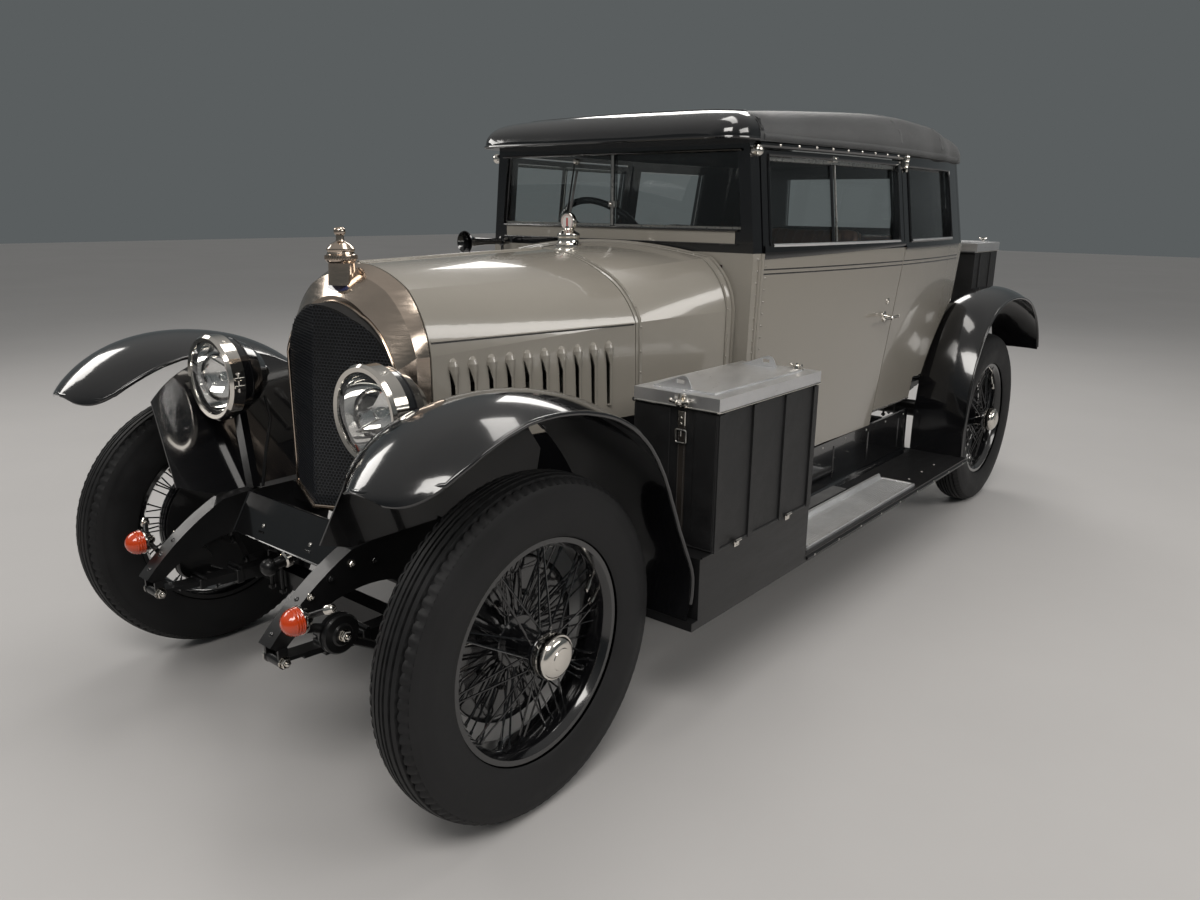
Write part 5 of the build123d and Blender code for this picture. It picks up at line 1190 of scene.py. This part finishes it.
edge_x, edge_z = 0.8005, 0.3105
board = Shape()
tread_low, tread_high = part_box("tread_plates")
for index in range(12):
    x = 0.672 + 0.0088 * index
    board.tube([(x, tread_low.y + 0.012, 0.3296), (x, tread_high.y - 0.012, 0.3296)], 0.0019, worn_aluminium,
        sides=6, flat=0.8, up=UP)
ridge = [(-17, 0), (-15, 4.5), (-9, 6), (-4, 13), (3, 16.5), (10, 14.5), (14, 8), (17, 5.5), (19, 0)]
ridge_ends = (tread_low.y + 0.004, tread_high.y - 0.004)
ridge_steps = (0, 0.004, 0.012, 0.02)
ridge_rows = [ridge_ends[0] + step for step in ridge_steps]
ridge_rows += [ridge_ends[1] - step for step in reversed(ridge_steps)]
ridge_path = [(Vector((0.648, y, 0.329)), Vector(UP)) for y in ridge_rows]
ridge_sizes = (0.25, 0.65, 0.92, 1, 1, 0.92, 0.65, 0.25)
ribbon(board, ridge_path, ridge, worn_aluminium, LEFT, lambda share: ridge_sizes[round(share * 7)])
tread_edges = ((tread_low.y, tread_high.y, 0.7725, 0.7845), (tread_low.y, tread_low.y + 0.01, 0.662, 0.7845),
    (tread_high.y - 0.01, tread_high.y, 0.662, 0.7845))
for y0, y1, x0, x1 in tread_edges:
    board.box((x0, y0, 0.3285), (x1, y1, 0.3325), 0.0012, worn_aluminium)
for y in span(tread_low.y + 0.03, tread_high.y - 0.03, 7):
    for x in (0.6335, 0.7785):
        board.dome((x, y, 0.332 if x > 0.7 else 0.33), UP, 0.0032, 0.0014, steel)
board.box((0.56, tread_low.y + 0.005, 0.3215), (0.612, tread_high.y - 0.2, 0.3245), 0.001, grey_rubber)
for index in range(9):
    x = 0.5635 + 0.0056 * index
    board.tube([(x, tread_low.y + 0.012, 0.3245), (x, tread_high.y - 0.207, 0.3245)], 0.0014, grey_rubber,
        sides=6)
edge_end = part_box("running_boards")[1].y - 0.004
board.tube([(edge_x, -0.485, edge_z), (edge_x, edge_end, edge_z)], 0.0052, satin, sides=10)
for y in span(-0.44, edge_end - 0.05, 9):
    board.dome((0.8045, y, edge_z), LEFT, 0.0042, 0.0022, steel)
for y in (0.47, 0.6, 0.73):
    board.dome((0.735, y, 0.3215), UP, 0.006, 0.0028, steel, 12)
board.tube([(edge_x, -1.0525, 0.4815), (edge_x, -0.4985, 0.4815)], 0.0026, satin)
for y in (-0.905, -0.64):
    board.box((0.8045, y - 0.011, 0.4725), (0.8105, y + 0.011, 0.489), 0.002, bright)
    board.tube([(0.8125, y - 0.013, 0.4905), (0.8125, y + 0.013, 0.4905)], 0.0038, bright, sides=10)
    board.dome((0.8105, y, 0.478), LEFT, 0.0036, 0.0024, bright, 10)
both(board, "board_trim", "chassis", "aluminium")

# Aprons between the body's foot and the running boards

apron = Shape()
apron_profile = [(0.54, 0.496), (0.547, 0.4985), (0.55, 0.495), (0.5508, 0.47), (0.552, 0.36), (0.5545, 0.33),
    (0.56, 0.3235), (0.578, 0.3232), (0.578, 0.3212), (0.559, 0.3214), (0.5525, 0.329), (0.5498, 0.36),
    (0.5486, 0.47), (0.548, 0.4935), (0.546, 0.4962), (0.54, 0.4938)]
apron_rows = span(aft(1016), aft(2392), 12)
points = [(x, y, z) for y in apron_rows for x, z in apron_profile]
size = len(apron_profile)
faces = sheet(len(apron_rows), size, False, True)
faces += [tuple(range(size - 1, -1, -1)), tuple((len(apron_rows) - 1) * size + i for i in range(size))]
apron.add(points, faces, enamel)
for y in span(aft(1060), aft(2350), 8):
    apron.dome((0.5508, y, 0.48), LEFT, 0.0045, 0.0022, steel, 10)
for y in span(aft(1100), aft(2300), 5):
    apron.tube([(0.5512, y, 0.345), (0.5512, y, 0.47)], 0.003, enamel)
both(apron, "board_aprons", "chassis", "black_enamel")

# Luggage cases: piping, board edges, stitched straps and buckles

piping_z, hem_z, lid_top = 0.484, 0.8325, 0.8668
case = Shape()
case_x0, case_x1, case_y0, case_y1 = 0.556, 0.8, aft(500), aft(1008)
for x, y in ((case_x1 - 0.001, case_y0 + 0.001), (case_x1 - 0.001, case_y1 - 0.001),
        (case_x0 + 0.001, case_y0 + 0.001)):
    case.tube([(x, y, 0.486), (x, y, 0.824)], 0.0032, case_leather)
case.tube([(case_x0 + 0.01, case_y0 - 0.0005, piping_z), (case_x1, case_y0 - 0.0005, piping_z),
    (case_x1 + 0.0005, case_y0, piping_z), (case_x1 + 0.0005, case_y1, piping_z)], 0.003, case_leather)


def strap(shape, place_x, face_y, z_low, z_high, width, material):
    """Upright strap with two rows of stitches on a face looking forward."""
    shape.box((place_x - width / 2, face_y - 0.0034, z_low), (place_x + width / 2, face_y + 0.0004, z_high),
        0.001, material)
    for x in (place_x - width / 2 + 0.003, place_x + width / 2 - 0.003):
        for z in span(z_low + 0.006, z_high - 0.006, int((z_high - z_low) / 0.008)):
            shape.box((x - 0.0005, face_y - 0.004, z - 0.0022), (x + 0.0005, face_y - 0.003, z + 0.0022),
                0.0002, grey_rubber)


strap(case, 0.7, case_y0, 0.492, 0.79, 0.022, strap_leather)
case.box((0.56, case_y0 - 0.0025, 0.486), (0.664, case_y0 + 0.0004, 0.826), 0.001, case_leather)
case.box((0.735, case_y0 - 0.0025, 0.486), (0.797, case_y0 + 0.0004, 0.826), 0.001, case_leather)
buckle = [(0.685, case_y0 - 0.0065, 0.744), (0.715, case_y0 - 0.0065, 0.744),
    (0.715, case_y0 - 0.0065, 0.776), (0.685, case_y0 - 0.0065, 0.776)]
case.tube(cut_corners(buckle, 0.08), 0.0024, steel, closed=True)
case.tube([(0.7, case_y0 - 0.0068, 0.76), (0.7, case_y0 - 0.0068, 0.778)], 0.0016, steel, sides=6)
case.box((0.689, case_y0 - 0.0062, 0.786), (0.711, case_y0 + 0.0004, 0.8225), 0.0014, bright)
for z in (0.792, 0.806):
    case.dome((0.7, case_y0 - 0.0062, z), FRONT, 0.003, 0.0018, bright)
both(case, "case_trim", "chassis", "case_leather")

fin = [(0, 0), (0.112, 0), (0.1075, 0.012), (0.1005, 0.026), (0.094, 0.0325), (0.084, 0.0345),
    (0.076, 0.0325), (0, 0.003)]
fin_slot = [(0.066, 0.015), (0.088, 0.015), (0.088, 0.0245), (0.066, 0.0245)]


def lid_fin(shape, place):
    """Upright fin on a lid, thin, with one slot through it."""
    loops = [[Vector((x, y, 0)) for x, y in loop] for loop in (fin, fin_slot)]
    flat = loops[0] + loops[1]
    count = len(flat)
    turn = move(place) @ Matrix.Rotation(pi / 2, 4, "X")
    points = [turn @ (point + Vector((0, 0, depth))) for depth in (0, 0.003) for point in flat]
    faces = []
    for a, b, c in tessellate_polygon(loops):
        if (flat[b] - flat[a]).cross(flat[c] - flat[a]).z < 0:
            b, c = c, b
        faces += [(c, b, a), (count + a, count + b, count + c)]
    first = 0
    for loop in loops:
        size = len(loop)
        for i in range(size):
            after = first + (i + 1) % size
            faces.append((first + i, after, count + after, count + first + i))
        first += size
    shape.add(points, faces, aluminium)


def wing_nut(shape, place, material):
    """Wing nut on a disc, pointing up."""
    shape.lathe([(0, 20), (2.2, 20.5), (3, 19.5), (3.2, 8), (13, 6.8), (14.5, 5), (20, 4.2), (20.8, 0)],
        place, UP, 24, material)
    shape.tube(points_from(place, (-20, 6, 16), (-10, 3, 12.5), (0, 0, 10), (10, -3, 12.5), (20, -6, 16)),
        0.0036, material, sides=10)


case_lid = Shape()
lid_y0, lid_y1, lid_x1, lid_x0 = aft(494), aft(1014), 0.806, 0.556
for y in (lid_y0 + 0.04, lid_y1 - 0.062):
    lid_fin(case_lid, (0.592, y, 0.8655))
    case_lid.box((0.596, y - 0.016, 0.8648), (0.7, y + 0.0005, lid_top), 0.0006, aluminium)
    for x in (0.612, 0.684):
        case_lid.dome((x, y - 0.009, lid_top), UP, 0.0034, 0.0018, steel)
wing_nut(case_lid, Vector((0.748, lid_y1 - 0.036, 0.8652)), bright)
hem = [(lid_x0 + 0.006, lid_y0 - 0.0005, hem_z), (lid_x1 - 0.004, lid_y0 - 0.0005, hem_z),
    (lid_x1 + 0.0005, lid_y0 + 0.004, hem_z), (lid_x1 + 0.0005, lid_y1 - 0.004, hem_z),
    (lid_x1 - 0.004, lid_y1 + 0.0005, hem_z), (lid_x0 + 0.006, lid_y1 + 0.0005, hem_z)]
case_lid.tube(hem, 0.0024, bright)
case_lid.box((0.69, lid_y0 - 0.004, 0.837), (0.71, lid_y0 + 0.0004, 0.863), 0.0014, bright)
case_lid.tube([(0.7, lid_y0 - 0.0085, 0.8665), (0.7, lid_y0 - 0.0105, 0.856), (0.7, lid_y0 - 0.0105, 0.84)],
    0.0042, bright, sides=10)
case_lid.lathe([(-10, 0), (-8, 6), (-3, 9.6), (3, 9.6), (8, 6), (10, 0)], (0.7, lid_y0 - 0.0125, 0.8445), UP,
    20, bright)
case_lid.tube([(0.676, lid_y0 - 0.0115, 0.848), (0.689, lid_y0 - 0.0125, 0.845),
    (0.711, lid_y0 - 0.0125, 0.845), (0.724, lid_y0 - 0.0115, 0.848)], 0.004, bright, sides=10)
for x in (0.676, 0.724):
    case_lid.lathe([(-5.5, 0), (-3.5, 4.6), (0, 5.8), (3.5, 4.6), (5.5, 0)], (x, lid_y0 - 0.0115, 0.848),
        LEFT, 12, bright)
pair(case_lid, "case_lid_{}_trim", "case_lid_{}", "aluminium")

# Rear trunk: lid hem, catches, side handles and boards

trunk_foot, trunk_rim, lid_hem_z = 0.655, 1.104, 1.1145
trunk = Shape()
trunk_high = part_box("trunk")[1]
lid_low, lid_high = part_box("trunk_lid")
trunk_face = trunk_high.y
for x in (0.556, 0.02):
    trunk.tube([(x, trunk_face - 0.001, trunk_foot), (x, trunk_face - 0.001, 1.1)], 0.0036, case_leather)
for x in (0.2, 0.38):
    trunk.box((x - 0.012, trunk_face - 0.0005, trunk_foot), (x + 0.012, trunk_face + 0.004, trunk_rim),
        0.0012, case_leather)
for y in (1.585, 1.735):
    trunk.box((trunk_high.x - 0.0005, y - 0.012, trunk_foot), (trunk_high.x + 0.004, y + 0.012, trunk_rim),
        0.0012, case_leather)
grip = [(trunk_high.x + 0.003, 1.605, 0.9), (trunk_high.x + 0.02, 1.62, 0.906),
    (trunk_high.x + 0.028, 1.66, 0.908), (trunk_high.x + 0.02, 1.7, 0.906),
    (trunk_high.x + 0.003, 1.715, 0.9)]
trunk.tube(grip, 0.007, strap_leather, sides=10, flat=1.3)
for y in (1.605, 1.715):
    trunk.box((trunk_high.x - 0.0005, y - 0.01, 0.885), (trunk_high.x + 0.0055, y + 0.01, 0.915), 0.0015,
        bright)
for x in (0.29, 0.47):
    trunk.box((x - 0.013, trunk_face + 0.0004, 1.05), (x + 0.013, trunk_face + 0.005, trunk_rim), 0.0014,
        bright)
    trunk.tube([(x - 0.01, trunk_face + 0.007, 1.062), (x + 0.01, trunk_face + 0.007, 1.062)], 0.0034, bright)
    for z in (1.072, 1.092):
        trunk.dome((x, trunk_face + 0.005, z), REAR, 0.003, 0.0018, steel)
both(trunk, "trunk_trim", "chassis", "case_leather")
lid = Shape()
lid_face = lid_high.y
lid.tube([(0.001, lid_face + 0.0005, lid_hem_z), (lid_high.x - 0.004, lid_face + 0.0005, lid_hem_z),
    (lid_high.x + 0.0005, lid_face - 0.004, lid_hem_z), (lid_high.x + 0.0005, lid_low.y + 0.006, lid_hem_z)],
    0.0024, bright)
for x in (0.29, 0.47):
    lid.box((x - 0.012, lid_face - 0.0004, 1.118), (x + 0.012, lid_face + 0.0045, 1.148), 0.0014, bright)
    lid.tube([(x, lid_face + 0.0085, 1.146), (x, lid_face + 0.0095, 1.124)], 0.0042, bright, sides=10)
wing_nut(lid, Vector((0.5, lid_face - 0.04, 1.1522)), bright)
lid_fin(lid, (0.2, lid_face - 0.05, 1.1522))
both(lid, "trunk_lid_trim", "trunk_lid", "aluminium")

# Engine under the bonnet: crankcase flange, side covers, head with studs and plugs, pipes and manifolds

pipe_x, head_z = 0.188, 0.966
engine = Shape()
engine_side, engine_top = 0.165, 0.94
engine_front, engine_back = aft(140), aft(720)
bays = [engine_front + 0.0725 + 0.145 * i for i in range(4)]
engine.box((-0.179, engine_front - 0.006, 0.664), (0.179, engine_back + 0.006, 0.678), 0.003, aluminium)
engine.box((-0.15, engine_front + 0.008, engine_top), (0.15, engine_back - 0.008, head_z), 0.006, iron)
engine.box((-0.052, engine_front + 0.03, head_z), (0.052, engine_back - 0.03, 0.978), 0.004, aluminium)
for side in (-1, 1):
    for y in span(engine_front + 0.012, engine_back - 0.012, 13):
        hex_nut(engine, (side * 0.172, y, 0.678), UP, 0.0075, steel, False)
    for y in span(engine_front + 0.03, engine_back - 0.03, 9):
        hex_nut(engine, (side * 0.132, y, head_z), UP, 0.0085, steel)
    for y in bays:
        low_x, high_x = sorted((side * engine_side, side * 0.174))
        engine.box((low_x, y - 0.058, 0.722), (high_x, y + 0.058, 0.822), 0.004, aluminium)
        engine.box((low_x, y - 0.058, 0.56), (high_x, y + 0.058, 0.64), 0.004, iron)
        for corner_y, z in product((-0.046, 0.046), (0.734, 0.81, 0.572, 0.628)):
            hex_nut(engine, (side * 0.174, y + corner_y, z), (side, 0, 0), 0.006, steel)
for y in bays:
    # Spark plug: hexagon body, white insulator and bright terminal
    plug = (0.092, y, head_z)
    hex_nut(engine, plug, UP, 0.011, steel, False)
    engine.lathe([(6, 8), (12, 7.5), (16, 5.5), (34, 4.5), (36, 0)], plug, UP, 16, white_enamel)
    engine.lathe([(34, 3), (44, 3.5), (46, 0)], plug, UP, 12, bright)
    # Riser of the water pipe, and exhaust branch on the left
    engine.tube([(0, y, 0.976), (0, y, 1.012)], 0.0115, nickel, sides=16)
    engine.lathe([(0, 20), (6, 20), (8, 12)], (0, y, 0.977), UP, 24, nickel)
    engine.tube([(engine_side - 0.004, y, 0.892), (0.18, y, 0.891), (0.187, y + 0.008, 0.884),
        (pipe_x, y + 0.018, 0.876)], 0.0165, iron, sides=16)
    engine.box((engine_side, y - 0.032, 0.868), (engine_side + 0.008, y + 0.032, 0.916), 0.003, iron)
    for nut_y in (-0.024, 0.024):
        hex_nut(engine, (engine_side + 0.008, y + nut_y, 0.892), LEFT, 0.0065, steel)
water_pipe = [(0, engine_back - 0.04, 1.012), (0, engine_front + 0.03, 1.016),
    (0, engine_front - 0.03, 1.014)]
engine.tube(water_pipe, 0.0155, nickel, sides=20)
engine.tube([(pipe_x, engine_front + 0.05, 0.876), (pipe_x, engine_back - 0.01, 0.87),
    (0.19, engine_back + 0.02, 0.85), (0.19, engine_back + 0.034, 0.8), (0.19, engine_back + 0.036, 0.64)],
    0.019, iron, sides=20)
# Inlet pipe, and a carburettor with its float chamber, on the right
engine.tube([(-engine_side, bays[0] + 0.04, 0.89), (-0.186, bays[0] + 0.055, 0.889),
    (-pipe_x, bays[1], 0.886), (-pipe_x, bays[2], 0.886), (-0.186, bays[3] - 0.055, 0.889),
    (-engine_side, bays[3] - 0.04, 0.89)], 0.015, aluminium, sides=18)
inlet_y = (bays[1] + bays[2]) / 2
engine.tube([(-pipe_x, inlet_y, 0.886), (-pipe_x, inlet_y, 0.8)], 0.0165, aluminium, sides=18)
engine.lathe([(0, 0), (0, 17), (4, 21), (46, 21), (50, 19), (56, 8), (66, 6), (68, 0)],
    (-0.19, inlet_y - 0.045, 0.78), UP, 28, nickel)
engine.tube([(-pipe_x, inlet_y, 0.792), (-pipe_x, inlet_y - 0.045, 0.792)], 0.009, nickel, sides=12)
engine.lathe([(0, 0), (0, 22), (6, 25), (30, 25), (36, 18), (38, 0)], (-pipe_x, inlet_y, 0.772), UP, 28,
    aluminium)
# Magneto on the left foot, on its shelf
engine.box((0.166, bays[0] - 0.05, 0.684), (0.214, bays[0] + 0.055, 0.69), 0.002, aluminium)
engine.lathe([(0, 0), (0, 18), (10, 21), (72, 21), (78, 14), (92, 14), (94, 0)],
    (0.19, bays[0] - 0.046, 0.711), REAR, 28, bright)
engine.piece("engine_trim", "chassis", "cast_iron", 40)

# Cabin: seats, dashboard with dials, door cards, floor mat and the wheel's hub

dash_foot, dash_top = 1.01, 1.152
pull_in = 0.03
corner_round = 0.06
channel_depth = 0.007
pleated_share = 0.92
roll_seam = 0.84


def cushion(name, node, turn, half_width, half_length, over, under, crown, channels):
    """Crowned closed form with sewn channels along it and a plain roll round them; returns its seam."""
    ends = [-1, -0.996, -0.985, -0.96]
    middle_u = span(-pleated_share, pleated_share, channels * 6 + 1)
    across = ends + middle_u + [-u for u in reversed(ends)]
    middle_v = [-0.91, -0.87, -0.855, -roll_seam, -0.825, -0.81] + span(-0.7, 0.7, 11) + [0.8, 0.92]
    along = ends + middle_v + [-v for v in reversed(ends)]
    points, faces, index = [], [], {}
    for side in (1, -1):
        for i, u in enumerate(across):
            for j, v in enumerate(along):
                rim = i in (0, len(across) - 1) or j in (0, len(along) - 1)
                if rim and side < 0:
                    index[side, i, j] = index[1, i, j]
                    continue
                x = half_width * u * (1 - pull_in * (1 - v * v) - corner_round * v ** 12)
                y = half_length * v * (1 - pull_in * (1 - u * u) - corner_round * u ** 12)
                edge = ((1 - abs(u) ** 7) * (1 - abs(v) ** 7)) ** 0.4
                if side > 0:
                    pleat = 1
                    if abs(u) < pleated_share and v > -roll_seam:
                        pleat = abs(sin(pi * channels * (u / pleated_share + 1) / 2)) ** 0.55
                    pleat -= exp(-((v + roll_seam) / 0.012) ** 2)
                    z = over * edge + crown * (1 - u * u) * (1 - v * v) - channel_depth * edge * (1 - pleat)
                else:
                    z = -under * min(1, edge * 1.3)
                index[side, i, j] = len(points)
                points.append(turn @ Vector((x, y, z)))
        for i in range(len(across) - 1):
            for j in range(len(along) - 1):
                face = [index[side, i, j], index[side, i + 1, j], index[side, i + 1, j + 1],
                    index[side, i, j + 1]]
                faces.append(face if side > 0 else face[::-1])
    pad = Shape()
    pad.add(points, faces, seat_leather)
    made = pad.piece(name, "chassis", "seat_leather", 60)
    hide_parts(node)
    last_i, last_j = len(across) - 1, len(along) - 1
    ring = [(i, 0) for i in range(0, last_i, 3)] + [(last_i, j) for j in range(0, last_j, 2)]
    ring += [(i, last_j) for i in range(last_i, 0, -3)] + [(0, j) for j in range(last_j, 0, -2)]
    return [points[index[1, i, j]] for i, j in ring]


def piping(points, radius=0.004, closed=False):
    """Sewn edge on the seats' frames."""
    seat_frames.tube(points, radius, strap_leather, closed=closed)


def leaning(place, angle):
    """Matrix whose y runs up a seat back and whose z faces forward out of it."""
    rise, reach = cos(angle), sin(angle)
    return move(place) @ Matrix(((1, 0, 0), (0, reach, -rise), (0, rise, reach))).to_4x4()


seat_frames = Shape()
front_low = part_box("front_seats")[0]
for side, name in ((-1, "right"), (1, "left")):
    seat_x = side * 0.25
    flat_turn = move((seat_x, 0.19, 0.752)) @ Matrix.Rotation(-0.072, 4, "X")
    seam = cushion(f"front_cushion_{name}", "front_seats", flat_turn, 0.198, 0.208, 0.06, 0.058, 0.012, 9)
    piping(seam, 0.0042, True)
    back_turn = leaning((seat_x, 0.474, 1.014), 0.167)
    seam = cushion(f"front_backrest_{name}", "front_seats", back_turn, 0.196, 0.212, 0.044, 0.034, 0.01, 9)
    piping(seam, 0.0042, True)
    # Leather-covered riser under the cushion and board behind the back, edged with piping and tacks
    seat_frames.box((seat_x - 0.188, -0.012, 0.581), (seat_x + 0.188, 0.47, 0.7), 0.01, seat_leather)
    piping([(seat_x - 0.186, -0.013, 0.596), (seat_x + 0.186, -0.013, 0.596)])
    for tack_x in span(seat_x - 0.176, seat_x + 0.176, 15):
        seat_frames.dome((tack_x, -0.012, 0.68), FRONT, 0.0038, 0.0025, bright)
    board_turn = leaning((seat_x, 0.484, 0.5815), 0.07)
    seat_frames.box((-0.19, 0, -0.006), (0.19, 0.628, 0.006), 0.004, seat_leather, board_turn)
    board_edge = [(-0.186, 0.006, -0.007), (-0.186, 0.622, -0.007), (0.186, 0.622, -0.007),
        (0.186, 0.006, -0.007)]
    piping([board_turn @ Vector(point) for point in board_edge], 0.0035)
flat_turn = move((0, 0.983, 0.783)) @ Matrix.Rotation(-0.085, 4, "X")
seam = cushion("rear_cushion", "rear_seat", flat_turn, 0.428, 0.158, 0.054, 0.054, 0.01, 17)
piping(seam, 0.0042, True)
back_turn = leaning((0, 1.183, 1.009), 0.11)
seam = cushion("rear_backrest", "rear_seat", back_turn, 0.428, 0.178, 0.027, 0.012, 0.008, 17)
piping(seam, 0.0042, True)
seat_frames.box((-0.424, 0.832, 0.66), (0.424, 1.19, 0.738), 0.01, seat_leather)
piping([(-0.42, 0.831, 0.674), (0.42, 0.831, 0.674)])
for tack_x in span(-0.408, 0.408, 33):
    seat_frames.dome((tack_x, 0.832, 0.716), FRONT, 0.0038, 0.0025, bright)
frames_piece = seat_frames.piece("seat_frames", "chassis", "seat_leather", 40)
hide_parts("front_seats", "rear_seat")

dash = Shape()
dash_y = body_low.y + 0.018
dash.box((-0.455, dash_y, dash_foot), (0.455, dash_y + 0.016, dash_top), 0.004, wood)
dash.tube([(-0.455, dash_y + 0.012, dash_top), (0.455, dash_y + 0.012, dash_top)], 0.0085, seat_leather,
    sides=10)
dash.tube([(-0.45, dash_y + 0.014, dash_foot), (0.45, dash_y + 0.014, dash_foot)], 0.004, bright)
for x, radius in ((-0.12, 0.042), (-0.02, 0.03), (0.06, 0.03), (0.16, 0.042)):
    centre = Vector((x, dash_y + 0.016, 1.088))
    edge = radius * 1000
    dash.lathe([(0, edge), (6, edge), (9, edge * 0.95), (9, edge * 0.86), (4, edge * 0.84)], centre, REAR, 36,
        bright)
    dash.lathe([(3.5, edge * 0.86), (3.8, 0)], centre, REAR, 36, white_enamel)
    for index in range(11):
        angle = radians(-135 + 27 * index)
        out = Vector((sin(angle), 0, cos(angle)))
        foot = centre + out * radius * 0.62 + mm(0, 4, 0)
        dash.tube([foot, foot + out * radius * 0.16], 0.0008, enamel, sides=4)
    dash.tube([centre + mm(0, 4.5, 0), centre + Vector((radius * 0.42, 0.0045, radius * 0.42))], 0.0012,
        enamel, sides=5)
    dash.dome(centre + mm(0, 4, 0), REAR, 0.004, 0.003, bright, 10)
for x in (0.24, 0.29, 0.34):
    centre = Vector((x, dash_y + 0.016, 1.07))
    dash.lathe([(0, 12), (4, 12), (5, 5), (20, 4.5), (22, 9.5), (32, 10.5), (35, 7), (36, 0)], centre, REAR,
        16, bright)
dash.box((0.225, dash_y + 0.016, 1.1), (0.395, dash_y + 0.021, 1.14), 0.0016, bright)
dash.piece("dashboard", "chassis", "case_leather")

mat = Shape()
mat_foot = hit(body_tree, (0.2, -0.1, 0.75), DOWN)[0].z
mat_back = front_low.y - 0.012
mat.box((-0.43, -0.37, mat_foot + 0.0004), (0.43, mat_back, mat_foot + 0.01), 0.003, carpet)
for index in range(14):
    x = -0.4 + 0.0615 * index
    mat.tube([(x, -0.36, mat_foot + 0.01), (x, mat_back - 0.01, mat_foot + 0.01)], 0.0035, carpet, sides=6,
        flat=0.6)
for x in (-0.34, -0.265, -0.19):
    foot = Vector((x, -0.335, mat_foot + 0.008))
    mat.tube([foot, foot + mm(0, 30, 105)], 0.0055, satin)
    mat.box((x - 0.026, -0.312, mat_foot + 0.1), (x + 0.026, -0.296, mat_foot + 0.168), 0.004, grey_rubber)
lever = Vector((0.01, -0.19, mat_foot + 0.008))
mat.lathe([(0, 45), (4, 45), (10, 28), (30, 18), (34, 0)], lever, UP, 24, case_leather)
mat.tube(points_from(lever, (0, 0, 20), (0, 30, 150), (-10, 65, 265)), 0.0065, steel, sides=10)
mat.lathe([(-16, 0), (-12, 13), (0, 18), (12, 13), (16, 0)], lever + mm(-10, 67, 276), (0, 0.3, 1), 16,
    enamel)
mat.piece("floor_trim", "chassis", "case_leather")

card_rows, card_columns = span(0.64, 1.12, 9), span(door_low.y + 0.075, door_high.y - 0.075, 10)
card = Shape()
card_lift = mm(4.5, 0, 0)
grid = [[hit(door_tree, (0.3, y, z), LEFT)[0] - card_lift for y in card_columns] for z in card_rows]
faces = sheet(len(card_rows), len(card_columns), flipped=True)
card.add([point for row in grid for point in row], faces, seat_leather)
border = grid[0] + [row[-1] for row in grid[1:-1]] + grid[-1][::-1] + [row[0] for row in grid[-2:0:-1]]
card.tube([point + mm(0.5, 0, 0) for point in border], 0.0048, strap_leather, closed=True)
for row in (3, 6):
    card.tube(grid[row], 0.0035, strap_leather)
pull_shift = ((2, (-0.002, 0, 0)), (3, (-0.02, 0, -0.004)), (4, (-0.002, 0, 0)))
card.tube([grid[5][column] + Vector(shift) for column, shift in pull_shift], 0.0065, strap_leather, flat=0.5)
pair(card, "door_card_{}", "door_{}", "seat_leather")

hub = Shape()
wheel_axis = Vector(joints["steering_wheel_turn"]["axis"]).normalized()
if wheel_axis.y < 0:
    wheel_axis = -wheel_axis
hub_face, _ = hit(surface("steering_wheel"), joint_places["steering_wheel_turn"] + wheel_axis * 0.6,
    -wheel_axis)
hub.lathe([(0, 26), (4, 26), (8, 22), (14, 20), (17, 12), (18, 0)], hub_face, wheel_axis, 28, bright)
side = wheel_axis.cross(Vector(LEFT)).normalized()
foot = hub_face + wheel_axis * 0.012
for turn, length in ((1.7, 0.085), (0.5, 0.07)):
    out = Vector(LEFT) * cos(turn) + side * sin(turn)
    hub.tube([foot, foot + out * length * 0.6 + wheel_axis * 0.006, foot + out * length], 0.0035, bright)
    hub.lathe([(-6, 0), (-4, 6), (4, 6), (6, 0)], foot + out * length, wheel_axis, 12, enamel)
hub.piece("steering_hub", "steering_wheel", "nickel")

# Horn on the far side, beside the screen's foot

horn_x, horn_z = -0.452, 1.173
horn = Shape()
horn_place = Vector((horn_x, aft(862), horn_z))
horn.lathe([(0, 36), (2, 38), (4, 36), (18, 24), (45, 15.5), (90, 11.8), (150, 10.5), (170, 10.5), (172, 16),
    (180, 16), (182, 12), (205, 12), (212, 7), (213, 0)], horn_place, REAR, 32, enamel)
horn.lathe([(3, 34.5), (20, 21.5), (45, 13), (60, 11), (60, 0)], horn_place, REAR, 32, enamel)
horn_foot, _ = hit(surface("scuttle", "body_shell", "cabin_frame"), (horn_x, aft(1040), 1.165), DOWN)
horn.tube([(horn_x, aft(1040), 1.164), (horn_x, aft(1042), (1.164 + horn_foot.z) / 2),
    horn_foot + mm(0, 0, -2)], 0.0055, enamel)
horn.lathe([(0, 16), (3, 16), (6, 8), (6, 0)], horn_foot, UP, 16, enamel)
horn.tube([(-0.466, aft(1036), horn_z), (horn_x, aft(1036), 1.188), (-0.438, aft(1036), horn_z),
    (horn_x, aft(1036), 1.158)], 0.003, bright, sides=6, closed=True)
horn.piece("horn", "chassis", "black_enamel", 50)
